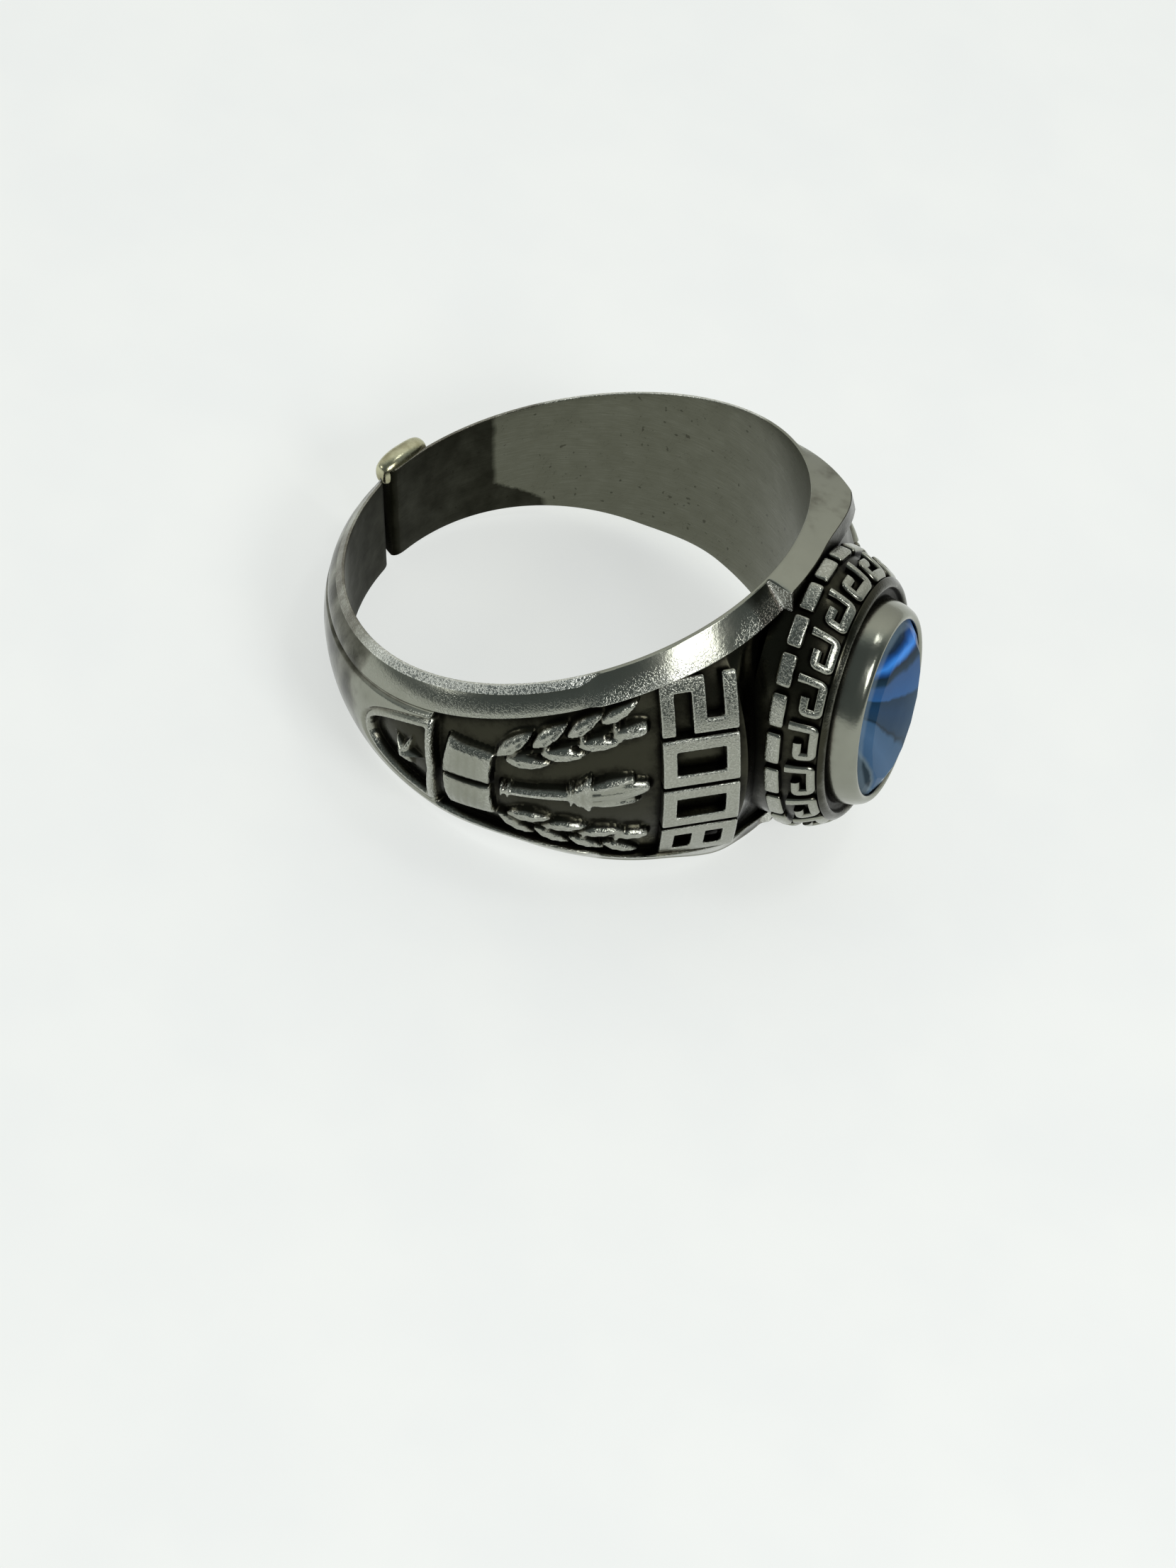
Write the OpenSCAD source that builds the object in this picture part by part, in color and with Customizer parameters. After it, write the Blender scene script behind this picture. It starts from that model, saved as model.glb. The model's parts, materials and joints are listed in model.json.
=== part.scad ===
// A class ring lying on its side: a cast band with relief shoulders, a raised oval head and one cut stone.
// The ring is drawn about its own finger axis, with the head towards +X, and is then laid on the floor.

/* [Finger hole] */
// Radius of the finger hole
hole_r = 9.9; // [9:0.1:11]

/* [Band] */
// Half width of the band at the back
back_half_w = 2.5; // [2.2:0.05:3.2]
// Half width of the band under the head
head_half_w = 7.4; // [7.2:0.05:8.2]
// How fast the band narrows behind the head
taper = 1.45; // [1.2:0.05:1.8]
// Wall of the band at the back
back_wall = 1; // [0.9:0.05:1.4]
// Wall of the band at the sides
side_wall = 1.8; // [1.6:0.05:2.2]
// Angle from the head where the wall starts to thin
thin_from = 88; // [80:1:110]
// Angle from the head where the wall is as thin as at the back
thin_to = 148; // [130:1:165]
// Thickness of the band's edge
edge_t = 0.4; // [0.3:0.05:0.6]
// Height of the bevel along the band's edge
bevel_h = 0.3; // [0.15:0.05:0.4]
// Width of the plain rail along each edge
rail_w = 1.2; // [0.9:0.05:1.3]
// Width of the groove inside each rail
groove_w = 0.24; // [0.16:0.02:0.4]
// Depth of the groove inside each rail
groove_d = 0.16; // [0.1:0.02:0.25]

/* [Head] */
// Height of the border's foot above the finger hole
foot_h = 1.25; // [1.15:0.05:1.5]
// Half length of the border's foot along the finger
foot_z = 6.9; // [6.6:0.05:7]
// Half width of the border's foot across the finger
foot_y = 5.3; // [5:0.05:5.6]
// Height of the border above its foot
border_h = 2.45; // [2.1:0.05:2.8]
// Half length of the border's rim along the finger
rim_z = 5.7; // [5.6:0.05:5.9]
// Half width of the border's rim across the finger
rim_y = 4.6; // [4.5:0.05:4.8]
// Width of the border's rim
rim_t = 0.3; // [0.2:0.05:0.4]
// Depth of the groove between the rim and the collar
moat_d = 0.3; // [0.2:0.05:0.4]
// Depth of the ground behind the border's ornament
ground_d = 0.3; // [0.2:0.05:0.4]
// Height of the row of blocks round the border's foot
block_h = 0.7; // [0.5:0.05:0.9]
// Number of blocks round the border's foot
block_n = 22; // [18:1:28]
// Number of keys in the border's fret
key_n = 18; // [14:1:22]
// Width of a stroke of the fret
key_stroke = 0.32; // [0.2:0.02:0.36]
// Thickness of the edge beside the head
head_edge_t = 1.2; // [0.9:0.05:1.2]
// Height of the bevel along the edge beside the head
head_bevel_h = 0.34; // [0.2:0.02:0.4]

/* [Collar and stone] */
// Height of the collar above the border's rim
collar_h = 1.1; // [0.9:0.05:1.4]
// Half length of the stone along the finger
stone_z = 4.41; // [4.2:0.03:4.5]
// Half width of the stone across the finger
stone_y = 3.42; // [3.2:0.02:3.5]
// How far the collar's lip folds over the stone's edge
lip_over = 0.12; // [0.08:0.02:0.2]
// Wall of the collar at its lip
lip_t = 0.25; // [0.2:0.05:0.35]
// How much wider the collar is at its foot than at its lip
collar_flare = 0.15; // [0.1:0.05:0.25]
// Depth of the stone's edge below the lip
lip_d = 0.3; // [0.25:0.05:0.4]
// Thickness of the stone at its edge
stone_edge_t = 0.2; // [0.1:0.05:0.3]
// Depth of the stone below its edge
pavilion_h = 1.9; // [1.5:0.1:2.1]
// Height of the stone above its edge
crown_h = 0.5; // [0.4:0.05:0.7]
// Size of the stone's table, as a share of its width
table_share = 0.74; // [0.6:0.02:0.8]
// Number of facets round the stone
facet_n = 16; // [8:1:20]
// Clearance between the stone and its seat
stone_gap = 0.06; // [0.03:0.01:0.1]

/* [Shoulders] */
// Angle from the head at which the shoulder's flat is square to a radius
flat_angle = 52.5; // [50:0.5:56]
// Depth of the sunk panels
panel_d = 0.6; // [0.45:0.05:0.75]
// Angle from the head at the narrow end of a panel
panel_end = 118; // [114:1:121]
// First, second, third and last numeral of the number on each shoulder
numerals = [2, 0, 0, 8];
// Height of a numeral
numeral_h = 3.3; // [2.8:0.1:3.4]
// Width of a numeral
numeral_w = 2.45; // [2.1:0.05:2.5]
// Gap between two numerals
numeral_gap = 0.18; // [0.12:0.02:0.3]
// Width of a numeral's stroke
numeral_stroke = 0.62; // [0.5:0.02:0.7]
// Distance of the numerals' foot from the middle of the flat
numeral_foot = 1.25; // [1:0.05:1.5]
// Greatest height of the relief above the ground of its panel
relief_h = 0.55; // [0.4:0.05:0.6]

/* [Repair] */
// Angle of the cut at the back of the band
cut_angle = 171; // [168:0.5:174]
// Width of the cut
cut_w = 0.22; // [0.15:0.01:0.3]
// Angle from the cut to the middle of the solder
solder_angle = 8; // [6:0.5:10]
// Length of the solder beside the cut
solder_l = 2.7; // [2.4:0.1:3.2]
// Width of the solder along the finger
solder_w = 1.3; // [1.1:0.05:1.6]
// Thickness of the solder
solder_t = 1.1; // [0.9:0.05:1.4]

/* [Hidden] */
section_n = 72;
// How far the band's metal runs into the finger hole before the hole is bored
core = 0.7;
// Flat width of the edge inside its bevel
edge_flat = 0.12;
foot_x = hole_r + foot_h;
seat_x = foot_x + 0.1;
rim_x = foot_x + border_h;
lip_x = rim_x + collar_h;
flat_r = hole_r + side_wall;
stone_edge_x = lip_x - lip_d;
stone_low_x = stone_edge_x - stone_edge_t;
// Angles from the head between which the edge changes from the head's flat side to the thin rail
side_face = [15, 27];

function smooth(t) = let (c = min(max(t, 0), 1)) c * c * (3 - 2 * c);
function mix(p, q, t) = p + (q - p) * t;
function flat(lists) = [for (l = lists) for (p = l) p];
function fold(a) = abs(a > 180 ? a - 360 : a);

// Shape of the band at an angle from the head
function half_w(a) = mix(back_half_w, head_half_w, pow((1 + cos(a)) / 2, taper));
function beside_head(a) = 1 - smooth((a - side_face[0]) / (side_face[1] - side_face[0]));
function edge(a) = mix(edge_t, head_edge_t, beside_head(a));
function edge_drop(a) = mix(bevel_h, head_bevel_h, beside_head(a));
function shank_r(a) = hole_r + mix(side_wall, back_wall, smooth((a - thin_from) / (thin_to - thin_from)));
function crest(a) = a < flat_angle ? min(flat_r / cos(flat_angle - a), seat_x / cos(a)) : shank_r(a);
function sunk(a) = a < panel_end ? panel_d : 0;
function rail_z(a) = half_w(a) - rail_w;

// The dome across the band: an arc through both edges and the crest
function dome_rise(a) = crest(a) - hole_r - edge(a);
function dome_r(a) = (pow(half_w(a) - edge_drop(a), 2) + pow(dome_rise(a), 2)) / (2 * dome_rise(a));
function dome(a, z) = crest(a) - dome_r(a) + sqrt(pow(dome_r(a), 2) - z * z);

// Upper half of a section through the band, from the finger hole round to the crest
function half_section(a) =
    let (h = half_w(a), rail = rail_z(a), top = h - edge_drop(a), wall = rail - groove_w)
    concat(
        [[hole_r - core, h], [hole_r + edge_flat, h]],
        [for (z = [top, (top + rail) / 2, rail]) [dome(a, z), z]],
        [[dome(a, rail - groove_w / 2) - max(sunk(a), groove_d), rail - groove_w / 2]],
        [for (t = [1, 0.66, 0.33]) [dome(a, wall * t) - sunk(a), wall * t]],
        [[crest(a) - sunk(a), 0]]);
function section(a) =
    let (up = half_section(fold(a)), down = [for (i = [len(up) - 2:-1:0]) [up[i][0], -up[i][1]]])
    [for (p = concat(up, down)) [p[0] * cos(a), p[0] * sin(a), p[1]]];
band_sections = [for (i = [0:section_n - 1]) section(360 * i / section_n)];

// Skin over sections with equal numbers of points: a closed loop, or a run with a flat end at each end
function quad(a, b, c, d) = [[a, b, c], [a, c, d]];
function skin_sides(n, m, closed) = [
    for (i = [0:n - (closed ? 1 : 2)]) for (j = [0:m - 1])
        let (k = (i + 1) % n, l = (j + 1) % m)
        each quad(i * m + j, k * m + j, k * m + l, i * m + l)];
module skin(sections, closed = false) {
    n = len(sections);
    m = len(sections[0]);
    ends = closed ? [] : [[for (j = [0:m - 1]) j], [for (j = [m - 1:-1:0]) (n - 1) * m + j]];
    polyhedron(flat(sections), concat(skin_sides(n, m, closed), ends), convexity = 10);
}

// The head: oval rings round the X axis, as height, half width, half length and how far the blocks stand out
function shifted(k, step) = 360 * (k + step) / block_n;
head_angles = flat([for (k = [0:block_n - 1]) [for (s = [0.08, 0.1, 0.9, 0.92]) shifted(k, s)]]);
function oval(x, y, z, out = 0) = [
    for (j = [0:len(head_angles) - 1])
        let (stand = (j % 4 == 1 || j % 4 == 2) ? out : 0)
        [x, (y + stand) * cos(head_angles[j]), (z + stand) * sin(head_angles[j])]];
// Share of the way in from the foot to the rim at a share of the border's height
function lean(t) = pow(t, 2.1);
function flank_y(t) = mix(foot_y, rim_y, lean(t));
function flank_z(t) = mix(foot_z, rim_z, lean(t));
function flank(t, down, out = 0) = oval(foot_x + border_h * t, flank_y(t) - down, flank_z(t) - down, out);
block_top = block_h / border_h;
rim_low = 0.9;
root_x = hole_r + 0.35;
moat_x = rim_x - moat_d;
collar_wall = lip_over + lip_t + collar_flare;
collar_y = stone_y + collar_wall;
collar_z = stone_z + collar_wall;
head_sections = [
    oval(root_x, foot_y - ground_d, foot_z - ground_d, ground_d),
    flank(0, ground_d, ground_d),
    flank(block_top, ground_d, ground_d),
    flank(block_top + 0.05, ground_d),
    flank(rim_low - 0.03, ground_d),
    flank(rim_low, 0),
    flank(1, 0.05),
    oval(moat_x, rim_y - rim_t, rim_z - rim_t),
    oval(moat_x, collar_y, collar_z),
    oval(mix(moat_x, lip_x, 0.45), collar_y - collar_flare * 0.1, collar_z - collar_flare * 0.1),
    oval(mix(moat_x, lip_x, 0.85), collar_y - collar_flare * 0.8, collar_z - collar_flare * 0.8),
    oval(lip_x, stone_y + lip_t, stone_z + lip_t)];

// The seat: an opening under the lip, a step for the stone's edge and a cone for its point
opening_y = stone_y - lip_over;
opening_z = stone_z - lip_over;
seat_n = 36;
function seat_ring(x, y, z) = [
    for (j = [0:seat_n - 1])
        let (a = 360 * j / seat_n)
        [x, y * cos(a), z * sin(a)]];
seat_y = stone_y + stone_gap;
seat_z = stone_z + stone_gap;
seat_sections = [
    seat_ring(stone_low_x - pavilion_h - stone_gap * 4, stone_y * 0.09, stone_z * 0.09),
    seat_ring(stone_low_x - stone_gap, seat_y, seat_z),
    seat_ring(stone_edge_x + stone_gap, seat_y, seat_z),
    seat_ring(stone_edge_x + lip_d * 0.4, opening_y, opening_z),
    seat_ring(lip_x + 1, opening_y, opening_z)];

// The stone: rings of points round the X axis, every other ring turned by half a facet
function facet_ring(x, share, turn = 0) = [
    for (j = [0:facet_n - 1])
        let (a = 360 * (j + turn) / facet_n)
        [x, stone_y * share * cos(a), stone_z * share * sin(a)]];
stone_sections = [
    facet_ring(stone_low_x - pavilion_h, 0.05),
    facet_ring(stone_low_x - pavilion_h * 0.4, 0.62, 0.5),
    facet_ring(stone_low_x, 1),
    facet_ring(stone_edge_x, 1),
    facet_ring(stone_edge_x + crown_h * 0.6, mix(1, table_share, 0.5), 0.5),
    facet_ring(stone_edge_x + crown_h, table_share)];

// The solder beside the cut, on the outer and upper edge of the band: rings of points along its length
solder_at = cut_angle - solder_angle;
solder_r = hole_r + back_wall * 0.45;
solder_z = half_w(solder_at) - solder_w * 0.42;
solder_sections = [for (i = [0:6])
    let (t = -84 + 28 * i, y = solder_l / 2 * sin(t), w = cos(t))
    [for (j = [9:-1:0])
        let (x = solder_r + solder_t / 2 * w * cos(36 * j))
        [x * cos(solder_at) - y * sin(solder_at), x * sin(solder_at) + y * cos(solder_at),
            solder_z + solder_w / 2 * w * sin(36 * j)]]];

// How the ring lies: the edge under the head and the edge at the back touch the floor
back_edge_x = hole_r + edge_flat;
rest_tilt = atan((head_half_w - back_half_w) / (hole_r + back_edge_x));
rest_z = head_half_w * cos(rest_tilt) - hole_r * sin(rest_tilt);
function lain_x(p) = p[0] * cos(rest_tilt) - p[2] * sin(rest_tilt);
all_rings = concat(band_sections, head_sections, stone_sections, solder_sections);
all_x = [for (s = all_rings) for (p = s) lain_x(p)];
mid_x = (min(all_x) + max(all_x)) / 2;
module laid() {
    translate([-mid_x, 0, rest_z]) rotate([0, -rest_tilt, 0]) children();
}

// A place on a shoulder's ground: u runs along the band towards the head, v along the finger
panel_mid = 72;
panel_r = hole_r + side_wall - panel_d;
function panel_angle(u) = panel_mid - u / panel_r * 180 / PI;
function on_panel(side, u, v, lift) =
    let (a = panel_angle(u), r = dome(a, v) - panel_d + lift)
    [r * cos(a), side * r * sin(a), -side * v];
// An outline turned and moved to its place on the panel
function placed(outline, at, turn) = [
    for (p = outline)
        at + [p[0] * cos(turn) - p[1] * sin(turn), p[0] * sin(turn) + p[1] * cos(turn)]];

// How deep the relief is rooted in the ground
root_d = 0.15;

// A rounded piece of relief over an outline, which runs counter-clockwise
module cushion(side, outline, at, turn, height, shrink = 0.55) {
    flat_outline = placed(outline, at, turn);
    inner = placed([for (p = outline) p * shrink], at, turn);
    levels = [[flat_outline, -root_d], [flat_outline, height * 0.55], [inner, height]];
    skin([for (l = levels) [for (p = l[0]) on_panel(side, p[0], p[1], l[1])]]);
}

// A raised stroke of even width along a path
function unit(p) = p / norm(p);
function left_of(p) = [-p[1], p[0]];
function miter(path, i, closed) =
    let (n = len(path),
        before = closed || i > 0 ? unit(path[i] - path[(i + n - 1) % n]) : unit(path[1] - path[0]),
        after = closed || i < n - 1 ? unit(path[(i + 1) % n] - path[i]) : before,
        way = unit(left_of(before) + left_of(after)))
    way / max(0.4, way * left_of(before));
module panel_stroke(side, path, width, height, closed = false) {
    skin([for (i = [0:len(path) - 1])
        let (m = miter(path, i, closed) * width / 2, p = path[i] + m, q = path[i] - m)
        [on_panel(side, p[0], p[1], -root_d), on_panel(side, p[0], p[1], height),
            on_panel(side, q[0], q[1], height), on_panel(side, q[0], q[1], -root_d)]],
        closed);
}

// Outlines of the relief, with their middle at the origin
leaf = [[1, 0], [0.3, 0.37], [-0.5, 0.35], [-1, 0], [-0.5, -0.35], [0.3, -0.37]];
flame = [[1.6, 0.15], [0.7, 0.5], [0.1, 0.95], [-0.8, 0.8], [-1.2, 0], [-0.8, -0.8], [0.1, -0.95],
    [0.6, -0.6]];
page = [[1.1, 1.75], [-1, 1.9], [-1.25, 0.08], [1, 0.08]];
handle = [[1.5, 0.36], [-1.5, 0.18], [-1.5, -0.18], [1.5, -0.36]];
cup = [[0.4, 0.95], [-0.4, 0.5], [-0.4, -0.5], [0.4, -0.95]];
star = [for (k = [0:9]) (k % 2 == 0 ? 1 : 0.42) * [cos(36 * k), sin(36 * k)]];

// Leaves of a spray, as place along the panel, place across it and turn
spray = [[-1.1, 2.35, 40], [0.4, 2.95, 38], [1.9, 3.5, 36], [3.4, 4, 30],
    [-0.5, 1.6, 2], [1, 2.1, 2], [2.5, 2.6, 2], [4, 3.05, 6]];
stem = [[-2.2, 1.6], [-0.3, 2.1], [1.6, 2.65], [3.6, 3.35]];
stem_w = 0.16;

// A pointed frame with a star in it at the narrow end of the panel
frame_w = 0.34;
frame_l = 3.6;
frame_tip = (panel_mid - panel_end) * PI / 180 * panel_r + frame_w;
frame_half = rail_z(panel_angle(frame_tip + frame_l)) - groove_w - frame_w;
frame_shape = [[0, 0], [0.3, -0.62], [0.65, -0.86], [1, -1], [1.08, 0], [1, 1], [0.65, 0.86], [0.3, 0.62]];
frame = [for (p = frame_shape) [frame_tip + frame_l * p[0], frame_half * p[1]]];

// Places along the panel of the book, and of the torch's handle, cup and flame
page_u = frame_tip + frame_l + 1.9;
handle_u = -0.1;
cup_u = handle_u + 1.85;
flame_u = cup_u + 1.55;

module panel_relief(side) {
    panel_stroke(side, frame, frame_w, relief_h * 0.8, closed = true);
    cushion(side, star, [frame_tip + frame_l * 0.66, 0], 0, relief_h, 0.3);
    for (m = [-1, 1]) {
        cushion(side, m > 0 ? page : [for (k = [3:-1:0]) [page[k][0], -page[k][1]]],
            [page_u, 0], 0, relief_h * 0.9, 0.8);
        for (l = spray) cushion(side, leaf, [l[0], m * l[1]], m * l[2], relief_h * 0.8, 0.45);
        panel_stroke(side, [for (p = stem) [p[0], m * p[1]]], stem_w, relief_h * 0.5);
    }
    cushion(side, handle, [handle_u, 0], 0, relief_h, 0.7);
    cushion(side, cup, [cup_u, 0], 0, relief_h, 0.8);
    cushion(side, flame, [flame_u, 0], 0, relief_h, 0.5);
}

// Numerals from seven strokes: foot, low left, low right, middle, high left, high right, top
STROKES = [[1, 1, 1, 0, 1, 1, 1], [0, 0, 1, 0, 0, 1, 0], [1, 1, 0, 1, 0, 1, 1], [1, 0, 1, 1, 0, 1, 1],
    [0, 0, 1, 1, 1, 1, 0], [1, 0, 1, 1, 1, 0, 1], [1, 1, 1, 1, 1, 0, 1], [0, 0, 1, 0, 0, 1, 1],
    [1, 1, 1, 1, 1, 1, 1], [1, 0, 1, 1, 1, 1, 1]];
module numeral(k) {
    s = numeral_stroke;
    half = (numeral_h + s) / 2;
    on = STROKES[k];
    for (row = [0:2]) if (on[3 * row]) translate([0, row * (numeral_h - s) / 2]) square([numeral_w, s]);
    for (row = [0:1]) for (col = [0:1]) if (on[1 + 3 * row + col])
        translate([col * (numeral_w - s), row * (numeral_h - s) / 2]) square([s, half]);
}
number_l = len(numerals) * numeral_w + (len(numerals) - 1) * numeral_gap;
// Radius of the dome along the row of numerals
numeral_dome_r = 11;
// How deep the numerals are rooted in the ground
numeral_root_d = 2;
numeral_root_r = flat_r - panel_d - numeral_root_d;
module numbers(side) {
    rotate([0, 0, side * flat_angle]) multmatrix([[0, 0, 1, 0], [0, -side, 0, 0], [side, 0, 0, 0]])
        intersection() {
            translate([0, 0, flat_r - numeral_dome_r]) rotate([90, 0, 0])
                cylinder(h = 4 * (numeral_foot + numeral_h), r = numeral_dome_r, center = true, $fn = 80);
            for (k = [0:len(numerals) - 1])
                translate([k * (numeral_w + numeral_gap) - number_l / 2, numeral_foot, numeral_root_r])
                    linear_extrude(height = numeral_root_d + 2 * panel_d) numeral(numerals[k]);
        }
}

// The border's fret: hooked keys on the sloping flank
key_low = block_top + 0.09;
key_high = rim_low - 0.1;
// How deep a key is rooted in the border's ground
key_root = 0.2;
function on_flank(a, t, lift) = let (d = ground_d - lift)
    [foot_x + border_h * t, (flank_y(t) - d) * cos(a), (flank_z(t) - d) * sin(a)];
key_path = [[0, 0], [0, 1], [0.66, 1], [0.66, 0.4], [0.34, 0.4]];
module fret() {
    mid_t = (key_low + key_high) / 2;
    pitch_l = PI * (flank_y(mid_t) + flank_z(mid_t)) / key_n;
    slope_l = (key_high - key_low) * norm([border_h, foot_y - rim_y]);
    path = [for (p = key_path) [p[0] * pitch_l, p[1] * slope_l]];
    for (k = [0:key_n - 1])
        skin([for (i = [0:len(path) - 1])
            let (m = miter(path, i, false) * key_stroke / 2)
            [for (c = [[1, -key_root], [1, ground_d], [-1, ground_d], [-1, -key_root]])
                let (p = path[i] + c[0] * m, t = mix(key_low, key_high, p[1] / slope_l))
                on_flank(360 * (k + p[0] / pitch_l) / key_n, t, c[1])]]);
}

// The dip round the border's foot
bed_x = foot_x - 0.25;
bed_flare = 1.4;

// All the cast metal before the finger hole is bored, joined as one mesh
module cast_metal() {
    resize([0, 0, 0]) union() {
        difference() {
            skin(band_sections, closed = true);
            skin([oval(bed_x, foot_y, foot_z), oval(lip_x, foot_y + bed_flare, foot_z + bed_flare)]);
            rotate([0, 0, cut_angle]) translate([hole_r + back_wall, 0, 0])
                cube([4 * back_wall, cut_w, 4 * head_half_w], center = true);
        }
        difference() {
            union() {
                skin(head_sections);
                fret();
            }
            skin(seat_sections);
        }
        for (side = [-1, 1]) {
            panel_relief(side);
            numbers(side);
        }
        skin(solder_sections);
    }
}

module ring_body() {
    color("#8c8a86") laid() difference() {
        cast_metal();
        cylinder(h = 4 * head_half_w, r = hole_r, center = true, $fn = section_n);
    }
}

module stone() {
    color("#2f62a8") laid() skin(stone_sections);
}

ring_body();
stone();
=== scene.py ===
"""A class ring lying on its side: antiqued white metal with cast relief shoulders and a blue oval stone."""

import json
import math

import bmesh
import bpy
import numpy as np
from mathutils import Euler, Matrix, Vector


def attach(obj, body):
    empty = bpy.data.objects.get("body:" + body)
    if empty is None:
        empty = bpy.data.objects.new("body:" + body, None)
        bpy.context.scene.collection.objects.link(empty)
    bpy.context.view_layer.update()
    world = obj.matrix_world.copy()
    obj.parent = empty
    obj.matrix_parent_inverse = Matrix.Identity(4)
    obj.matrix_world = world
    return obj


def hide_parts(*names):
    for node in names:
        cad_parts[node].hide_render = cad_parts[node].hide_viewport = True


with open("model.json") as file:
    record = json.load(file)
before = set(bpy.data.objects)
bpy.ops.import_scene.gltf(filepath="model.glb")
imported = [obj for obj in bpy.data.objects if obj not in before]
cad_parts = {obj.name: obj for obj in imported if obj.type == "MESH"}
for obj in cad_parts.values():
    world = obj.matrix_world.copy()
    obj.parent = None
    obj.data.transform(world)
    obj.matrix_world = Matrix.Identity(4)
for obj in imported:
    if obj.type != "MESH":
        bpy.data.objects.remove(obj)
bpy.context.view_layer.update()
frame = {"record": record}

# The ring's own frame: millimetres, finger axis along Z, head towards X. The bore mount says where it lies.
# Angles are degrees round the finger hole, counted from the head.
MM = 0.001
bore = frame["record"]["mounts"][0]
HOLE_R = bore["dims"]["r_mm"]
AXIS = np.array(bore["axis"])
ACROSS = np.array([0.0, 1.0, 0.0])
FORWARD = np.cross(ACROSS, AXIS)
CENTRE = np.array(bore["pos_m"])
NEAR, FAR = -1, 1

# Band: its width, its walls and the edge round the finger hole
BACK_HALF_W, HEAD_HALF_W, TAPER = 2.5, 7.4, 1.45
BACK_WALL, SIDE_WALL = 1.0, 1.8
THIN_FROM, THIN_TO = 88.0, 148.0
FLAT_ANGLE = 52.5
EDGE_T, BEVEL_H = 0.4, 0.3
EDGE_FLAT = 0.12
RAIL_W = 1.2
GROOVE_W, GROOVE_D = 0.24, 0.16

# Beside the head the edge is a flat face: where it starts to fall off and where it has gone, on either side
SIDE_FACE = {NEAR: (11.2, 12.0), FAR: (25.0, 46.0)}
HEAD_EDGE_T, HEAD_BEVEL_H = 1.2, 0.34
FAR_FACE_MORE_T, FAR_FACE_FROM, FAR_FACE_RUN = 0.55, 5, 18

# Behind it the rail is one facet up to the hole, until it turns into a bowed rail with a worn bevel
RAIL_EDGE_T, RAIL_BEVEL_H = 0.14, 0.08
FACET_OUT, FACET_MORE_W, FACET_REACH = 0.95, 0.1, 1.3
EDGE_WORN_FROM, EDGE_WORN_TO = 58.0, 64.0
RAIL_BOW = 0.045

# The lower side of the shoulders: how much thinner beside the head and shorter behind it, and over what width
LOW_SIDE_THIN, LOW_SIDE_UP = 0.62, 0.5
LOW_SIDE_FROM, LOW_SIDE_RUN = 2.4, 2.2

# The cut at the back, and how far its ends are rounded and bent open
CUT_ANGLE, CUT_W = 171.0, 0.22
CUT_ROUND, CUT_OPEN = 4.5, 2.2

# Sections along the band and rows across it
SECTION_STEP = {NEAR: 0.24, FAR: 0.36}
BESIDE_TO, SHOULDER_FROM, SHOULDER_TO = 28, 46, 124
RAIL_SHARES = (0, 0.03, 0.14, 0.28, 0.42, 0.56, 0.7, 0.84, 0.97, 1)
GROOVE_SHARES = np.linspace(0, 1, 6)[1:]
FLOOR_SHARES = np.linspace(1, 0, 56)[1:]
WALL_SHARES = np.linspace(0, 1, 16)[1:-1]
BEVEL_SHARES = (0.97, 0.75, 0.5, 0.25, 0.04)
# The rounded corner between bevel and inner wall: how far out from the hole, and how far below the edge
INNER_CORNER = [(0.08, 0.0), (0.03, 0.012), (0.008, 0.035), (0.0, 0.08)]
# Rows with the bevel's finish, and rows before the inner wall's finish starts
BEVEL_ROWS, ROWS_TO_WALL = 8, 7

# Head, border and collar
ROOT_H = 0.35
FOOT_H = 1.25
FOOT_Y, FOOT_Z = 5.3, 6.9
BORDER_H, BORDER_LEAN = 2.45, 2.1
RIM_Y, RIM_Z, RIM_T = 4.6, 5.7, 0.3
# Share of the border's height at which the rim starts
RIM_LOW = 0.9
MOAT_D = 0.3
GROUND_D = 0.3
BLOCK_H, BLOCK_N, BLOCK_SHARE = 0.7, 22, 0.84
KEY_N, KEY_STROKE = 18, 0.40
# One key of the fret: share of its pitch, share of its height
KEY_PATH = [(0, 0), (0, 1), (0.66, 1), (0.66, 0.4), (0.34, 0.4)]
COLLAR_H, COLLAR_FLARE = 1.1, 0.15
# The collar's side: share of its height, share of its flare
COLLAR_SIDE = [(0, -0.4), (0.36, 0.0), (0.64, 0.55), (0.88, 1.55)]
LIP_OVER, LIP_T, LIP_D = 0.12, 0.25, 0.3
HEAD_CORNER_R, SEAT_ROWS = 0.12, 20

# Stone
STONE_Y, STONE_Z = 3.42, 4.41
STONE_EDGE_T, STONE_GAP = 0.2, 0.06
PAVILION_H, CROWN_H = 1.9, 0.58
TABLE_SHARE = 0.76
FACET_N = 16
# The fan of bands seen in the stone, its deep blue with painted reflections of the facets: the corner that it
# spreads from, then each band's place and colour
FAN_AT = (-1.35, 0.95)
PAINTED_FAN_BANDS = [
    (0.0, (0.030, 0.050, 0.065)), (0.05, (0.008, 0.020, 0.045)), (0.09, (0.012, 0.070, 0.26)),
    (0.14, (0.014, 0.060, 0.20)), (0.165, (0.008, 0.018, 0.030)), (0.20, (0.012, 0.030, 0.050)),
    (0.225, (0.026, 0.070, 0.17)), (0.32, (0.022, 0.080, 0.21)), (0.335, (0.009, 0.028, 0.055)),
    (0.40, (0.010, 0.034, 0.075)), (0.475, (0.014, 0.036, 0.068)), (0.49, (0.010, 0.022, 0.036)),
    (0.51, (0.036, 0.082, 0.15)), (0.60, (0.048, 0.100, 0.18)), (0.70, (0.038, 0.082, 0.15)),
    (0.718, (0.090, 0.125, 0.15)), (0.73, (0.018, 0.030, 0.040)), (1.0, (0.030, 0.048, 0.062))]

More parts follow.
